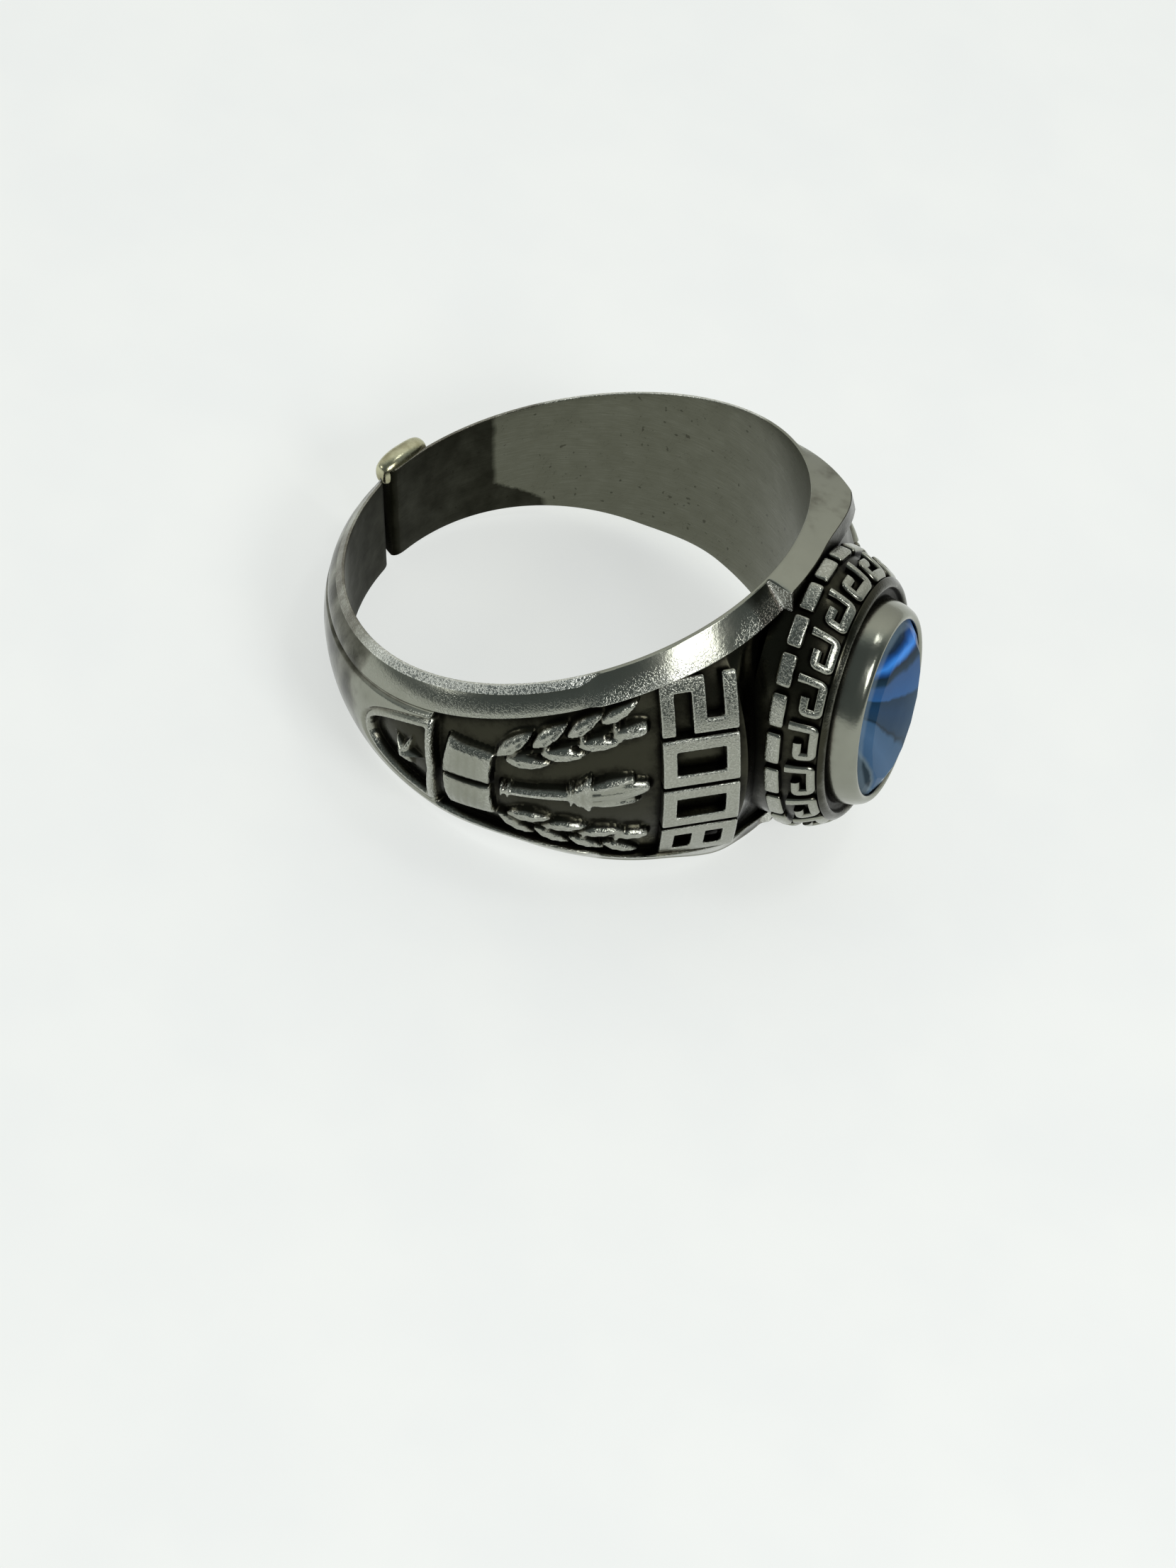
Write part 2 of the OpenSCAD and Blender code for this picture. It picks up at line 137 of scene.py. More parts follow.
# Shoulders: sunk panels with numerals, a pointed frame and relief
PANEL_D = 0.6
PANEL_END, PANEL_MID = 118.0, 72.0
NUMBERS_FROM = 47.8
NUMERALS = (2, 0, 0, 8)
NUMERAL_H, NUMERAL_W, NUMERAL_GAP = 3.3, 2.45, 0.18
NUMERAL_STROKE, NUMERAL_FOOT, NUMERAL_DOME_R = 0.62, 1.25, 11.0
NUMERAL_ROOT, NUMERAL_BEVEL, NUMERAL_CELL = 1.4, 0.11, 0.16
FRAME_W, FRAME_L = 0.34, 3.6
STAR_R, STAR_NOTCH, STAR_H = 0.95, 0.42, 0.62
# The book's outline, from its middle: place along the panel, distance from the spine
BOOK_HALF = [(-1.25, 0.03), (-1.02, 1.9), (1.12, 1.75), (1.0, 0.03)]
# The torch: ends of its handle and cup, rings round it as place and overhang, tongues as root, tip and width
HANDLE_FROM, HANDLE_TO, CUP_FROM, CUP_TO = -1.6, 1.4, 1.35, 2.15
TORCH_RINGS = [(-1.6, -0.1), (-1.32, -0.06), (1.25, 0.16)]
TONGUES = [((2.05, 0.0), (4.85, 0.12), 0.95),
           ((2.1, 0.42), (3.95, 0.72), 0.42),
           ((2.1, -0.42), (4.15, -0.66), 0.42)]
# A spray: its leaves as place along the panel, place across it and turn, then its stem and its berries
SPRAY = [(-1.1, 2.35, 40), (0.4, 2.95, 38), (1.9, 3.5, 36), (3.4, 4.0, 30),
         (-0.5, 1.6, 2), (1.0, 2.1, 2), (2.5, 2.6, 2), (4.0, 3.05, 6)]
STEM = [(-2.2, 1.6), (-0.3, 2.1), (1.6, 2.65), (3.6, 3.35)]
BERRIES = [(0.25, 2.3), (1.75, 2.85), (3.15, 3.3)]

# Repair
SOLDER_ANGLE, SOLDER_L, SOLDER_W, SOLDER_T = 8.0, 2.7, 1.3, 1.1

# Derived sizes
root_r = HOLE_R + ROOT_H
foot_x = HOLE_R + FOOT_H
seat_x = foot_x + 0.1
rim_x = foot_x + BORDER_H
lip_x = rim_x + COLLAR_H
flat_r = HOLE_R + SIDE_WALL
moat_x = rim_x - MOAT_D
stone_edge_x = lip_x - LIP_D
stone_low_x = stone_edge_x - STONE_EDGE_T
collar_wall = LIP_OVER + LIP_T + COLLAR_FLARE
panel_r = HOLE_R + SIDE_WALL - PANEL_D


def smooth(t):
    c = np.clip(t, 0, 1)
    return c * c * (3 - 2 * c)


def mix(p, q, t):
    return p + (q - p) * t


def cosd(a):
    return np.cos(np.radians(a))


def sind(a):
    return np.sin(np.radians(a))


def fold(a):
    """Angle from the head, the same on both sides."""
    return np.abs((np.asarray(a) + 180) % 360 - 180)


# Shape of the band at an angle from the head, as in the solids
def half_w(a):
    return mix(BACK_HALF_W, HEAD_HALF_W, ((1 + cosd(a)) / 2) ** TAPER)


def beside_head(a, side):
    """1 on the flat face beside the head, falling off behind its crease."""
    start, stop = SIDE_FACE[side]
    return np.clip((stop - a) / (stop - start), 0, 1)


def edge_worn(a):
    """0 where the rail is one facet up to the hole, 1 where it has its own worn bevel."""
    return smooth((a - EDGE_WORN_FROM) / (EDGE_WORN_TO - EDGE_WORN_FROM))


def edge(a, side):
    """Thickness of the edge; the far face grows wider away from the head."""
    head_edge = HEAD_EDGE_T + FAR_FACE_MORE_T * smooth((a - FAR_FACE_FROM) / FAR_FACE_RUN) * (side == FAR)
    return mix(mix(RAIL_EDGE_T, EDGE_T, edge_worn(a)), head_edge, beside_head(a, side))


def edge_drop(a, side):
    """How far the bevel reaches down from the edge."""
    return mix(mix(RAIL_BEVEL_H, BEVEL_H, edge_worn(a)), HEAD_BEVEL_H, beside_head(a, side))


def low_side(a, r, z):
    """The lower side of the shoulders, thinner beside the head and shorter behind it, as in the photo."""
    share = smooth((-z - half_w(a) + LOW_SIDE_FROM) / LOW_SIDE_RUN)
    thin = LOW_SIDE_THIN * smooth((30 - a) / 12) * share
    up = LOW_SIDE_UP * smooth((a - 24) / 20) * smooth((100 - a) / 24) * share
    return HOLE_R + (r - HOLE_R) * (1 - thin), z + up


def shank_r(a):
    return HOLE_R + mix(SIDE_WALL, BACK_WALL, smooth((a - THIN_FROM) / (THIN_TO - THIN_FROM)))


def crest(a):
    """Radius of the middle line: flat at the numerals, cut off under the head, and the shank behind."""
    near = np.minimum(a, FLAT_ANGLE)
    top = np.minimum(flat_r / cosd(FLAT_ANGLE - near), seat_x / cosd(near))
    return np.where(a < FLAT_ANGLE, top, shank_r(a))


def rail_z(a):
    """Height along the finger of the rail's foot."""
    return half_w(a) - RAIL_W - FACET_MORE_W * smooth((a - 8) / 3) * smooth((44 - a) / 12)


def dome(a, z, side):
    """The dome across the band: an arc through both edges and the crest."""
    rise = crest(a) - HOLE_R - edge(a, side)
    r = ((half_w(a) - edge_drop(a, side)) ** 2 + rise**2) / (2 * rise)
    return crest(a) - r + np.sqrt(r**2 - z**2)


# Places on a shoulder's panel: u runs along the band towards the head, v along the finger
def panel_angle(u):
    return PANEL_MID - u / panel_r * 180 / np.pi


def panel_u(a):
    return (PANEL_MID - a) * np.pi / 180 * panel_r


numbers_u = panel_u(NUMBERS_FROM)
frame_tip = panel_u(PANEL_END) + FRAME_W
frame_end = frame_tip + FRAME_L
frame_half = rail_z(panel_angle(frame_end)) - GROOVE_W - FRAME_W


def ring_points(r, theta, z):
    return np.stack([r * cosd(theta), r * sind(theta), z], -1)


def lay(points):
    """From the ring's own frame, in millimetres, to where it lies, in metres."""
    basis = np.stack([FORWARD, ACROSS, AXIS])
    return CENTRE + MM * (np.asarray(points, float) @ basis)


# Meshes
def new_object(name, mesh):
    made = bpy.data.objects.new(name, mesh)
    bpy.context.scene.collection.objects.link(made)
    return made


def tube_faces(n, m):
    """Faces of a closed tube: quads between its n rings of m points, and one face over each end."""
    i, j = np.meshgrid(np.arange(n - 1), np.arange(m), indexing="ij")
    k, after = i + 1, (j + 1) % m
    quads = np.stack([i * m + j, k * m + j, k * m + after, i * m + after], -1).reshape(-1, 4)
    return quads.tolist() + [list(range(m)), list(range((n - 1) * m, n * m))]


def store(mesh, name, values):
    """Keep a number or a vector for each vertex, for the material to read."""
    values = np.asarray(values, np.float32)
    kind = "FLOAT" if values.ndim == 1 else "FLOAT_VECTOR"
    layer = mesh.attributes.new(name, kind, "POINT")
    layer.data.foreach_set("value" if kind == "FLOAT" else "vector", values.ravel())


def outward(mesh):
    """Turn a closed mesh right side out."""
    work = bmesh.new()
    work.from_mesh(mesh)
    bmesh.ops.recalc_face_normals(work, faces=work.faces)
    if work.calc_volume(signed=True) < 0:
        bmesh.ops.reverse_faces(work, faces=work.faces)
    work.to_mesh(mesh)
    work.free()


def soft_shade(mesh, sharp_angle):
    """Smooth faces, with edges sharper than the angle kept sharp."""
    work = bmesh.new()
    work.from_mesh(mesh)
    limit = math.radians(sharp_angle)
    for face in work.faces:
        face.smooth = True
    for line in work.edges:
        line.smooth = line.calc_face_angle(0) < limit
    work.to_mesh(mesh)
    work.free()


def closed_mesh(name, points, faces, sharp_angle):
    """A closed piece from points in the ring's own frame."""
    mesh = bpy.data.meshes.new(name)
    mesh.from_pydata(lay(points).tolist(), [], [tuple(f) for f in faces])
    outward(mesh)
    soft_shade(mesh, sharp_angle)
    return mesh


def mesh_points(mesh):
    co = np.empty(len(mesh.vertices) * 3)
    mesh.vertices.foreach_get("co", co)
    return co.reshape(-1, 3)


def applied(piece):
    """The piece's mesh with its modifiers applied; they are removed from the piece."""
    evaluated = piece.evaluated_get(bpy.context.evaluated_depsgraph_get())
    mesh = bpy.data.meshes.new_from_object(evaluated)
    piece.modifiers.clear()
    return mesh


def blurred(field, reach):
    """A soft average over the grid's neighbours, reach in grid steps along each way."""
    out = field
    for axis, sigma in enumerate(reach):
        n = int(3 * sigma) + 1
        weights = np.exp(-0.5 * (np.arange(-n, n + 1) / sigma) ** 2)
        weights /= weights.sum()
        pad = [(0, 0), (0, 0)]
        pad[axis] = (n, n)
        wide = np.pad(out, pad, mode="edge")
        size = field.shape[axis]
        out = sum(w * np.take(wide, np.arange(k, k + size), axis=axis) for k, w in enumerate(weights))
    return out


def ripple(x, y, seed, scale):
    """Smooth unevenness between -1 and 1 from a few waves, the same each run."""
    rng = np.random.default_rng(seed)
    total = np.zeros(np.broadcast(x, y).shape)
    for _ in range(9):
        turn = rng.uniform(0, 2 * np.pi)
        pace = rng.uniform(0.6, 1.8) / scale
        total = total + np.sin(pace * (x * np.cos(turn) + y * np.sin(turn)) + rng.uniform(0, 2 * np.pi))
    return total / 9


# Distances on a panel
def segment_distance(u, v, p, q):
    """Distance to a straight stretch, and the share of the way along it."""
    p, q = np.array(p, float), np.array(q, float)
    way = q - p
    share = np.clip(((u - p[0]) * way[0] + (v - p[1]) * way[1]) / (way @ way), 0, 1)
    return np.hypot(u - p[0] - share * way[0], v - p[1] - share * way[1]), share


def path_distance(u, v, path, closed=False):
    ends = path[1:] + (path[:1] if closed else [])
    return np.min([segment_distance(u, v, p, q)[0] for p, q in zip(path, ends)], axis=0)


def inside(u, v, path):
    found = np.zeros(u.shape, bool)
    for (x0, y0), (x1, y1) in zip(path, path[1:] + path[:1]):
        if y0 == y1:
            continue
        crosses = (y0 > v) != (y1 > v)
        found ^= crosses & (u < x0 + (v - y0) * (x1 - x0) / (y1 - y0))
    return found


def signed_distance(u, v, path):
    """Negative inside a closed path."""
    away = path_distance(u, v, path, closed=True)
    return np.where(inside(u, v, path), -away, away)


def round_top(distance, half, height):
    """A stroke with a rounded top, from the distance to its middle line."""
    return height * np.sqrt(np.clip(1 - (distance / half) ** 2, 0, 1)) ** 0.7


def pillow(depth_in, soft, height):
    """A raised form with rounded shoulders, from the distance inside its outline."""
    t = np.clip(depth_in / soft, 0, 1)
    return height * np.sqrt(1 - (1 - t) ** 2)


def notch(off, width):
    """1 on a line, falling off on both sides of it."""
    return np.exp(-((off / width) ** 2))


# Relief on a shoulder, as heights over the panel's ground
def frame_path(steps=14):
    """Outline of the pointed frame: an arch from its tip to both corners of its wide end."""
    side = [(frame_tip + FRAME_L * t, frame_half * t**0.42) for t in np.linspace(0, 1, steps) ** 1.6]
    wide = [(frame_tip + FRAME_L * 1.08, 0.0)]
    return side + wide + [(u, -v) for u, v in side[:0:-1]]


frame_outline = frame_path()


def leaf_relief(u, v, at, turn, half_l=1.0, half_t=0.4, height=0.46):
    """A pointed leaf with a vein and fine ribs."""
    du, dv = u - at[0], v - at[1]
    along, across = du * cosd(turn) + dv * sind(turn), dv * cosd(turn) - du * sind(turn)
    t = np.clip((along + half_l) / (2 * half_l), 0, 1)
    width = half_t * np.sin(np.pi * t**0.8) ** 0.75 + 1e-6
    share = np.clip(np.abs(across) / width, 0, 1)
    body = height * (1 - share**2) ** 0.5 * (0.75 + 0.25 * np.sin(np.pi * t))
    vein = 0.11 * notch(across, 0.05) * (np.abs(along) < half_l * 0.85)
    ribs = 0.025 * np.cos(2 * np.pi * (along * 1.9 - np.abs(across) * 1.6)) * (1 - share) * share * 4
    return np.where((np.abs(along) < half_l) & (np.abs(across) < width), body - vein + ribs, 0)


def star_relief(u, v):
    """A five-pointed star in the frame, highest in its middle, with an edge from each point to each notch."""
    du, dv = u - (frame_tip + FRAME_L * 0.66), v
    spread = np.abs((np.degrees(np.arctan2(dv, du)) + 36) % 72 - 36)
    edge_r = STAR_R * STAR_NOTCH * sind(36) / (STAR_NOTCH * sind(36 - spread) + sind(spread) + 1e-9)
    return STAR_H * np.clip(1 - np.hypot(du, dv) / edge_r, 0, 1) ** 0.8


def book_relief(u, v):
    """An open book: two curved leaves with ruled lines and a spine."""
    along, across = u - (frame_end + 1.9), np.abs(v)
    depth_in = -signed_distance(along, across, BOOK_HALF)
    swell = 0.34 + 0.16 * np.sin(np.clip(across / 1.8, 0, 1) * np.pi * 0.85)
    ruled = (across > 0.3) & (across < 1.5) & (np.abs(along) < 0.85)
    rules = 0.05 * notch(((along + 1.25) / 0.36) % 1 - 0.5, 0.16) * ruled
    edges = 0.06 * notch(depth_in - 0.16, 0.045)
    return np.where(depth_in > 0, pillow(depth_in, 0.12, 1) * swell - rules - edges, 0)


def torch_relief(u, v):
    """A torch with a turned handle, a cup and a flame of three tongues."""
    across = np.abs(v)
    half = 0.18 + 0.18 * np.clip((u - HANDLE_FROM) / (HANDLE_TO - HANDLE_FROM), 0, 1)
    handle = round_top(across, half, 0.52) * ((u > HANDLE_FROM) & (u < HANDLE_TO))
    flutes = 0.05 * (0.5 + 0.5 * np.cos(2 * np.pi * v / 0.17)) * (handle > 0.2)
    cup_half = 0.5 + 0.45 * smooth((u - CUP_FROM) / 0.8)
    cup = pillow(np.minimum(cup_half - across, np.minimum(u - CUP_FROM, CUP_TO - u)), 0.14, 0.55)
    cup_line = 0.1 * notch(u - 1.72, 0.06) * (cup > 0.2)
    rings = [round_top(segment_distance(u, v, (x, -0.33 - k), (x, 0.33 + k))[0], 0.1, 0.56)
             for x, k in TORCH_RINGS]
    out = np.max([handle - flutes, cup - cup_line] + rings, axis=0)
    for root, tip, fat in TONGUES:
        off, share = segment_distance(u, v, root, tip)
        width = fat * 0.62 * np.sin(np.pi * (0.12 + 0.88 * share)) ** 0.8 + 0.03
        lick = round_top(off, width, 0.55) * (1 - 0.35 * share)
        lick = lick - 0.05 * np.cos(off * 26 + share * 4) * (lick > 0.15)
        out = np.maximum(out, lick)
    return out


def shoulder_relief(u, v):
    """The whole relief of one shoulder over its ground."""
    parts = [star_relief(u, v), book_relief(u, v), torch_relief(u, v)]
    for side in (-1, 1):
        stem = path_distance(u, v, [(p, side * q) for p, q in STEM])
        parts.append(round_top(stem, 0.09, 0.3))
        parts += [round_top(np.hypot(u - p, v - side * q), 0.17, 0.36) for p, q in BERRIES]
        parts += [leaf_relief(u, v, (p, side * q), side * turn) for p, q, turn in SPRAY]
    return np.max(parts, axis=0)


def panel_height(u, v, across):
    """Height of the sunk panel with its relief and of the pointed frame; across is 1 between the rails."""
    off = signed_distance(u, v, frame_outline)
    past = smooth((u - frame_end) / 0.16)
    within = -0.03 - 0.5 * smooth((-off - FRAME_W / 2) / 0.13)
    groove = -GROOVE_D * notch(off - 0.13, 0.08) * smooth((u - frame_tip + 0.5) / 0.3)
    beyond = mix(groove, -PANEL_D * smooth((off - 0.04) / 0.2), past)
    ground = np.where(off < 0, within, beyond)
    on_ground = np.where(off < 0, within < -0.4, past > 0.5)
    relief = shoulder_relief(u, v) * smooth((u - frame_tip - 0.4) / 0.3)
    before_numbers = smooth((numbers_u - u) / 0.25)
    return (ground + relief * on_ground * before_numbers) * across


# Band: sections from under the head to the cut, in two halves
def band_angles(side):
    """Angles of one half's sections, dense over the shoulder and at the end."""
    half_cut = math.degrees(CUT_W / 2 / (HOLE_R + BACK_WALL))
    last = (CUT_ANGLE if side == FAR else 360 - CUT_ANGLE) - half_cut
    start, stop = SIDE_FACE[side]
    shoulder = [(BESIDE_TO, SHOULDER_FROM), (SHOULDER_FROM, SHOULDER_TO)]
    runs = [(0, start, 12), (start, stop, 8), (stop, BESIDE_TO, 14)] if side == NEAR else [(0, BESIDE_TO, 32)]
    runs += [(p, q, int((q - p) / SECTION_STEP[side])) for p, q in shoulder]
    runs += [(SHOULDER_TO, last - 5, 44), (last - 5, last, 20)]
    angles = [np.linspace(p, q, n, endpoint=False) for p, q, n in runs]
    return side * np.concatenate(angles + [[last]])


def outer_rows(a, side):
    """Height along the finger of each row of the outer surface, from the upper edge down to the lower one."""
    top, rail = half_w(a) - edge_drop(a, side), rail_z(a)
    wall = rail - GROOVE_W
    upper = [mix(top, rail, t) for t in RAIL_SHARES]
    upper += [mix(rail, wall, t) for t in GROOVE_SHARES]
    upper += [wall * t for t in FLOOR_SHARES]
    return np.concatenate(upper + [-z for z in upper[-2::-1]], axis=1)


def outer_surface(theta, side):
    """Radius, height along the finger and height over the dome, on the grid of the outer surface."""
    a = fold(theta)[:, None]
    z = outer_rows(a, side)
    top, rail = half_w(a) - edge_drop(a, side), rail_z(a)
    on_rail = np.abs(z) >= rail
    below_rail = rail - np.abs(z)
    rail_share = (np.abs(z) - rail) / (top - rail)
    straight = 1 - edge_worn(a)
    rail_r = mix(HOLE_R + FACET_OUT, dome(a, rail, side), np.maximum(edge_worn(a), beside_head(a, side)))
    facet = mix(rail_r, dome(a, top, side), np.clip(rail_share, 0, 1)) - dome(a, z, side)
    below_facet = (rail_r - dome(a, rail, side)) * smooth(1 - below_rail / FACET_REACH)
    bow = RAIL_BOW * np.clip(1 - (2 * rail_share - 1) ** 2, 0, 1)
    crown = bow * (1 - straight) + np.where(on_rail, facet, below_facet) * straight
    groove = -GROOVE_D * notch(below_rail - GROOVE_W / 2, GROOVE_W * 0.3)
    panel = panel_height(np.broadcast_to(panel_u(a), z.shape), z, smooth(below_rail / GROOVE_W))
    raised = (panel > groove) & (below_rail > GROOVE_W)
    height = blurred(np.where(raised, panel, np.minimum(groove, panel)), (1.1, 0.9)) + crown
    height = height + 0.012 * ripple(theta[:, None] * 0.2, z, seed=5, scale=1.6)
    return dome(a, z, side) + height, z, height - np.where(on_rail, 0, below_facet * straight)


def edge_rows(a, side):
    """The bevel and the rounded inner corner: how far out from the hole, and how far below the edge."""
    out, down = edge(a, side), edge_drop(a, side)
    slope = [(mix(EDGE_FLAT, out, t), down * t) for t in BEVEL_SHARES]
    return slope + [(dr + 0 * a, dz + 0 * a) for dr, dz in INNER_CORNER]


def inner_rows(a, side):
    """The bevels, the rounded inner corners and the inner wall, from the lower edge up to the upper one."""
    h = half_w(a)
    corner_h = INNER_CORNER[-1][1]
    low = [(HOLE_R + dr, -h + dz) for dr, dz in edge_rows(a, NEAR)]
    mid = [(HOLE_R + 0 * h, mix(-h + corner_h, h - corner_h, t)) for t in WALL_SHARES]
    high = [(HOLE_R + dr, h - dz) for dr, dz in edge_rows(a, side)[::-1]]
    rows = low + mid + high
    return np.concatenate([r for r, _ in rows], axis=1), np.concatenate([z for _, z in rows], axis=1)


def rounded_end(r, to_end):
    """The end at the cut: drawn in towards the middle of the wall, and opened towards the finger hole."""
    rounding = 1 - np.sqrt(1 - to_end**2)
    middle = HOLE_R + BACK_WALL / 2
    r = middle + (r - middle) * (1 - 0.5 * rounding)
    inward = np.clip((middle - r) / (BACK_WALL / 2), 0, 1)
    return r, -CUT_OPEN * rounding * inward


def far_face_painted_shade(a, side):
    """Painted shade over the far face, from the middle of the head round to the shoulder."""
    return 0.16 * smooth(a / 14) * smooth((60 - a) / 20) * (side == FAR)


def outer_finish(theta, z, height, at_cut, side):
    """Tarnish and worn brightness of the outer surface, from how deep each point lies and where on the band
    it is, darker under the head, with painted shade on the far face, a painted dark reflection behind the
    near crease and a painted highlight at its end.
    """
    a = fold(theta)[:, None]
    start, stop = SIDE_FACE[side]
    under_head = smooth((start - 0.1 - a) / 0.3)
    # Painted dark reflection: the near facet just behind the crease is darkened
    painted_dark_reflection = 0.46 * smooth((a - stop) / 0.3) * smooth((24 - a) / 8) * (side == NEAR)
    # Painted highlight: where the near crease ends, the surface is brightened with the worn colour
    painted_cap_highlight = 1.4 * smooth((a - start + 0.1) / 0.1) * smooth((stop + 0.1 - a) / 0.1) * (side == NEAR)
    clouds = 0.38 + 0.3 * ripple(theta[:, None] * 0.3, z, seed=51, scale=0.5)
    mottled = smooth((a - 112) / 14) * clouds * (side == NEAR)
    hollow = blurred(height, (6.0, 4.5)) - height
    deep = smooth((-height - 0.12) / 0.42)
    patina = np.clip(0.7 * deep + 2.6 * np.clip(hollow, -0.25, 0.3), 0, 1)
    # Painted shade on the rails of the far face
    far_face_shade = far_face_painted_shade(a, side) * (np.abs(z) > rail_z(a))
    for mark in (under_head, painted_dark_reflection, at_cut, far_face_shade, mottled):
        patina = np.maximum(patina, mark)
    wear = np.maximum(np.clip(-hollow * 1.8, 0, 0.45) * (1 - at_cut), painted_cap_highlight)
    return patina, wear


def inner_finish(a, shape, at_cut, side):
    """Tarnish and worn brightness of both bevels and the inner wall, with painted shade on the far face's
    bevel, and where the inner wall's own finish is.
    """
    patina, wear, wall = np.zeros(shape) + at_cut, np.zeros(shape), np.ones(shape)
    bright = 1.3 * edge_worn(a) * (1 - 0.8 * smooth((a - 116) / 12))
    # Dulled bevels: tarnish at the cut and towards the back, and painted shade on the far face
    dull_and_painted_shade = np.maximum(at_cut, np.maximum(0.3 * smooth((a - 118) / 10), far_face_painted_shade(a, side)))
    for bevel in (slice(None, BEVEL_ROWS), slice(-BEVEL_ROWS, None)):
        patina[:, bevel], wear[:, bevel] = dull_and_painted_shade, bright
    wall[:, :ROWS_TO_WALL], wall[:, -ROWS_TO_WALL:] = 0, 0
    return patina, wear, wall


def band(name, side):
    """One half of the band. Both halves have the near half's lower side."""
    theta = band_angles(side)
    a = fold(theta)[:, None]
    upper = outer_surface(theta, side)
    lower = upper if side == NEAR else outer_surface(theta, NEAR)
    r_out, z_out, height = [np.where(upper[1] < 0, low, high) for high, low in zip(upper, lower)]
    r_in, z_in = inner_rows(a, side)
    r, z = low_side(a, np.concatenate([r_out, r_in], 1), np.concatenate([z_out, z_in], 1))
    to_end = np.clip(1 - (np.abs(theta[-1]) - np.abs(theta)) / CUT_ROUND, 0, 1)[:, None]
    r, turn = rounded_end(r, to_end)
    points = ring_points(r, theta[:, None] + side * turn, z)
    mesh = closed_mesh(name, points.reshape(-1, 3), tube_faces(*r.shape), sharp_angle=28)
    at_cut = smooth((to_end - 0.3) / 0.5)
    patina, wear = outer_finish(theta, z_out, height, at_cut, side)
    patina_and_shade_in, wear_and_sheen_in, wall = inner_finish(a, r_in.shape, at_cut, side)
    inner = np.concatenate([np.zeros_like(r_out), wall], 1)
    wrap = np.stack([theta[:, None] * np.pi / 180 * HOLE_R + 0 * r, z, inner], -1)
    # Stored per vertex: tarnish together with painted shade, and worn brightness together with a painted
    # highlight
    store(mesh, "patina", np.concatenate([patina, patina_and_shade_in], 1).ravel())
    store(mesh, "wear", np.concatenate([wear, wear_and_sheen_in], 1).ravel())
    store(mesh, "wrap", wrap.reshape(-1, 3))
    return new_object(name, mesh)


# Numerals 0 to 9 from seven strokes: foot, low left, low right, middle, high left, high right, top
STROKES = ("1110111", "0010010", "1101011", "1011011", "0011110",
           "1011101", "1111101", "0010011", "1111111", "1011111")


def numeral_rects(k):
    """Rectangles of a numeral's strokes, as left, low, width and height."""
    on = [c == "1" for c in STROKES[k]]
    s, w, h = NUMERAL_STROKE, NUMERAL_W, NUMERAL_H
    half = (h + s) / 2
    rects = [(0, row * (h - s) / 2, w, s) for row in range(3) if on[3 * row]]
    uprights = [(row, col) for row in range(2) for col in range(2) if on[1 + 3 * row + col]]
    return rects + [(col * (w - s), row * (h - s) / 2, s, half) for row, col in uprights]


def ticks(stops, step):
    """Places along a line through all the stops, no further apart than the step."""
    stops = sorted(set(round(s, 4) for s in stops))
    out = []
    for p, q in zip(stops, stops[1:]):
        out += np.linspace(p, q, max(1, math.ceil((q - p) / step)), endpoint=False).tolist()
    return out + [stops[-1]]


def numeral_cells(k, at):
    """Raised cells of one numeral, moved along the row of numerals."""
    rects = numeral_rects(k)
    xs = ticks([r[0] for r in rects] + [r[0] + r[2] for r in rects], NUMERAL_CELL)
    ys = ticks([r[1] for r in rects] + [r[1] + r[3] for r in rects], NUMERAL_CELL)
    cells = []
    for x0, x1 in zip(xs, xs[1:]):
        for y0, y1 in zip(ys, ys[1:]):
            x, y = (x0 + x1) / 2, (y0 + y1) / 2
            if any(r[0] < x < r[0] + r[2] and r[1] < y < r[1] + r[3] for r in rects):
                cells.append((x0 + at, x1 + at, y0, y1))
    return cells


def number_block(name):
    """The row of numerals as one closed mesh with flat tops at height 0, in millimetres."""
    number_l = len(NUMERALS) * NUMERAL_W + (len(NUMERALS) - 1) * NUMERAL_GAP
    work = bmesh.new()
    corners = {}
    for i, k in enumerate(NUMERALS):
        for x0, x1, y0, y1 in numeral_cells(k, i * (NUMERAL_W + NUMERAL_GAP) - number_l / 2):
            loop = [(round(x, 4), round(y + NUMERAL_FOOT, 4))
                    for x, y in ((x0, y0), (x1, y0), (x1, y1), (x0, y1))]
            for p in loop:
                if p not in corners:
                    corners[p] = work.verts.new((p[0], p[1], 0.0))
            work.faces.new([corners[p] for p in loop])
    grown = bmesh.ops.extrude_face_region(work, geom=list(work.faces))
    for vert in [g for g in grown["geom"] if isinstance(g, bmesh.types.BMVert)]:
        vert.co.z = -NUMERAL_ROOT
    bmesh.ops.recalc_face_normals(work, faces=work.faces)
    mesh = bpy.data.meshes.new(name)
    work.to_mesh(mesh)
    work.free()
    return mesh


def numbers(name, side):
    """The numerals of one shoulder, with soft edges, bent over its flat and seated in the band."""
    piece = new_object(name, number_block(name))
    bevel = piece.modifiers.new("edges", "BEVEL")
    bevel.width, bevel.segments = NUMERAL_BEVEL, 4
    bevel.limit_method, bevel.angle_limit = "ANGLE", math.radians(50)
    mesh = applied(piece)
    x, y, depth = mesh_points(mesh).T
    uneven = 0.008 * ripple(x, y, seed=11, scale=0.7)
    top_z = flat_r - NUMERAL_DOME_R + np.sqrt(NUMERAL_DOME_R**2 - x**2) + uneven
    out, sideways = np.maximum(top_z + depth, root_r), -side * y
    c, s = cosd(side * FLAT_ANGLE), sind(side * FLAT_ANGLE)
    points = np.stack([out * c - sideways * s, out * s + sideways * c, side * x], -1)
    mesh.vertices.foreach_set("co", lay(points).ravel())
    outward(mesh)
    soft_shade(mesh, 60)
    store(mesh, "patina", smooth((-depth - 0.03) / 0.3))
    store(mesh, "wear", 0.5 * notch(depth + 0.03, 0.03))
    store(mesh, "wrap", np.stack([x, y, 0 * x], -1))
    piece.data = mesh
    return piece


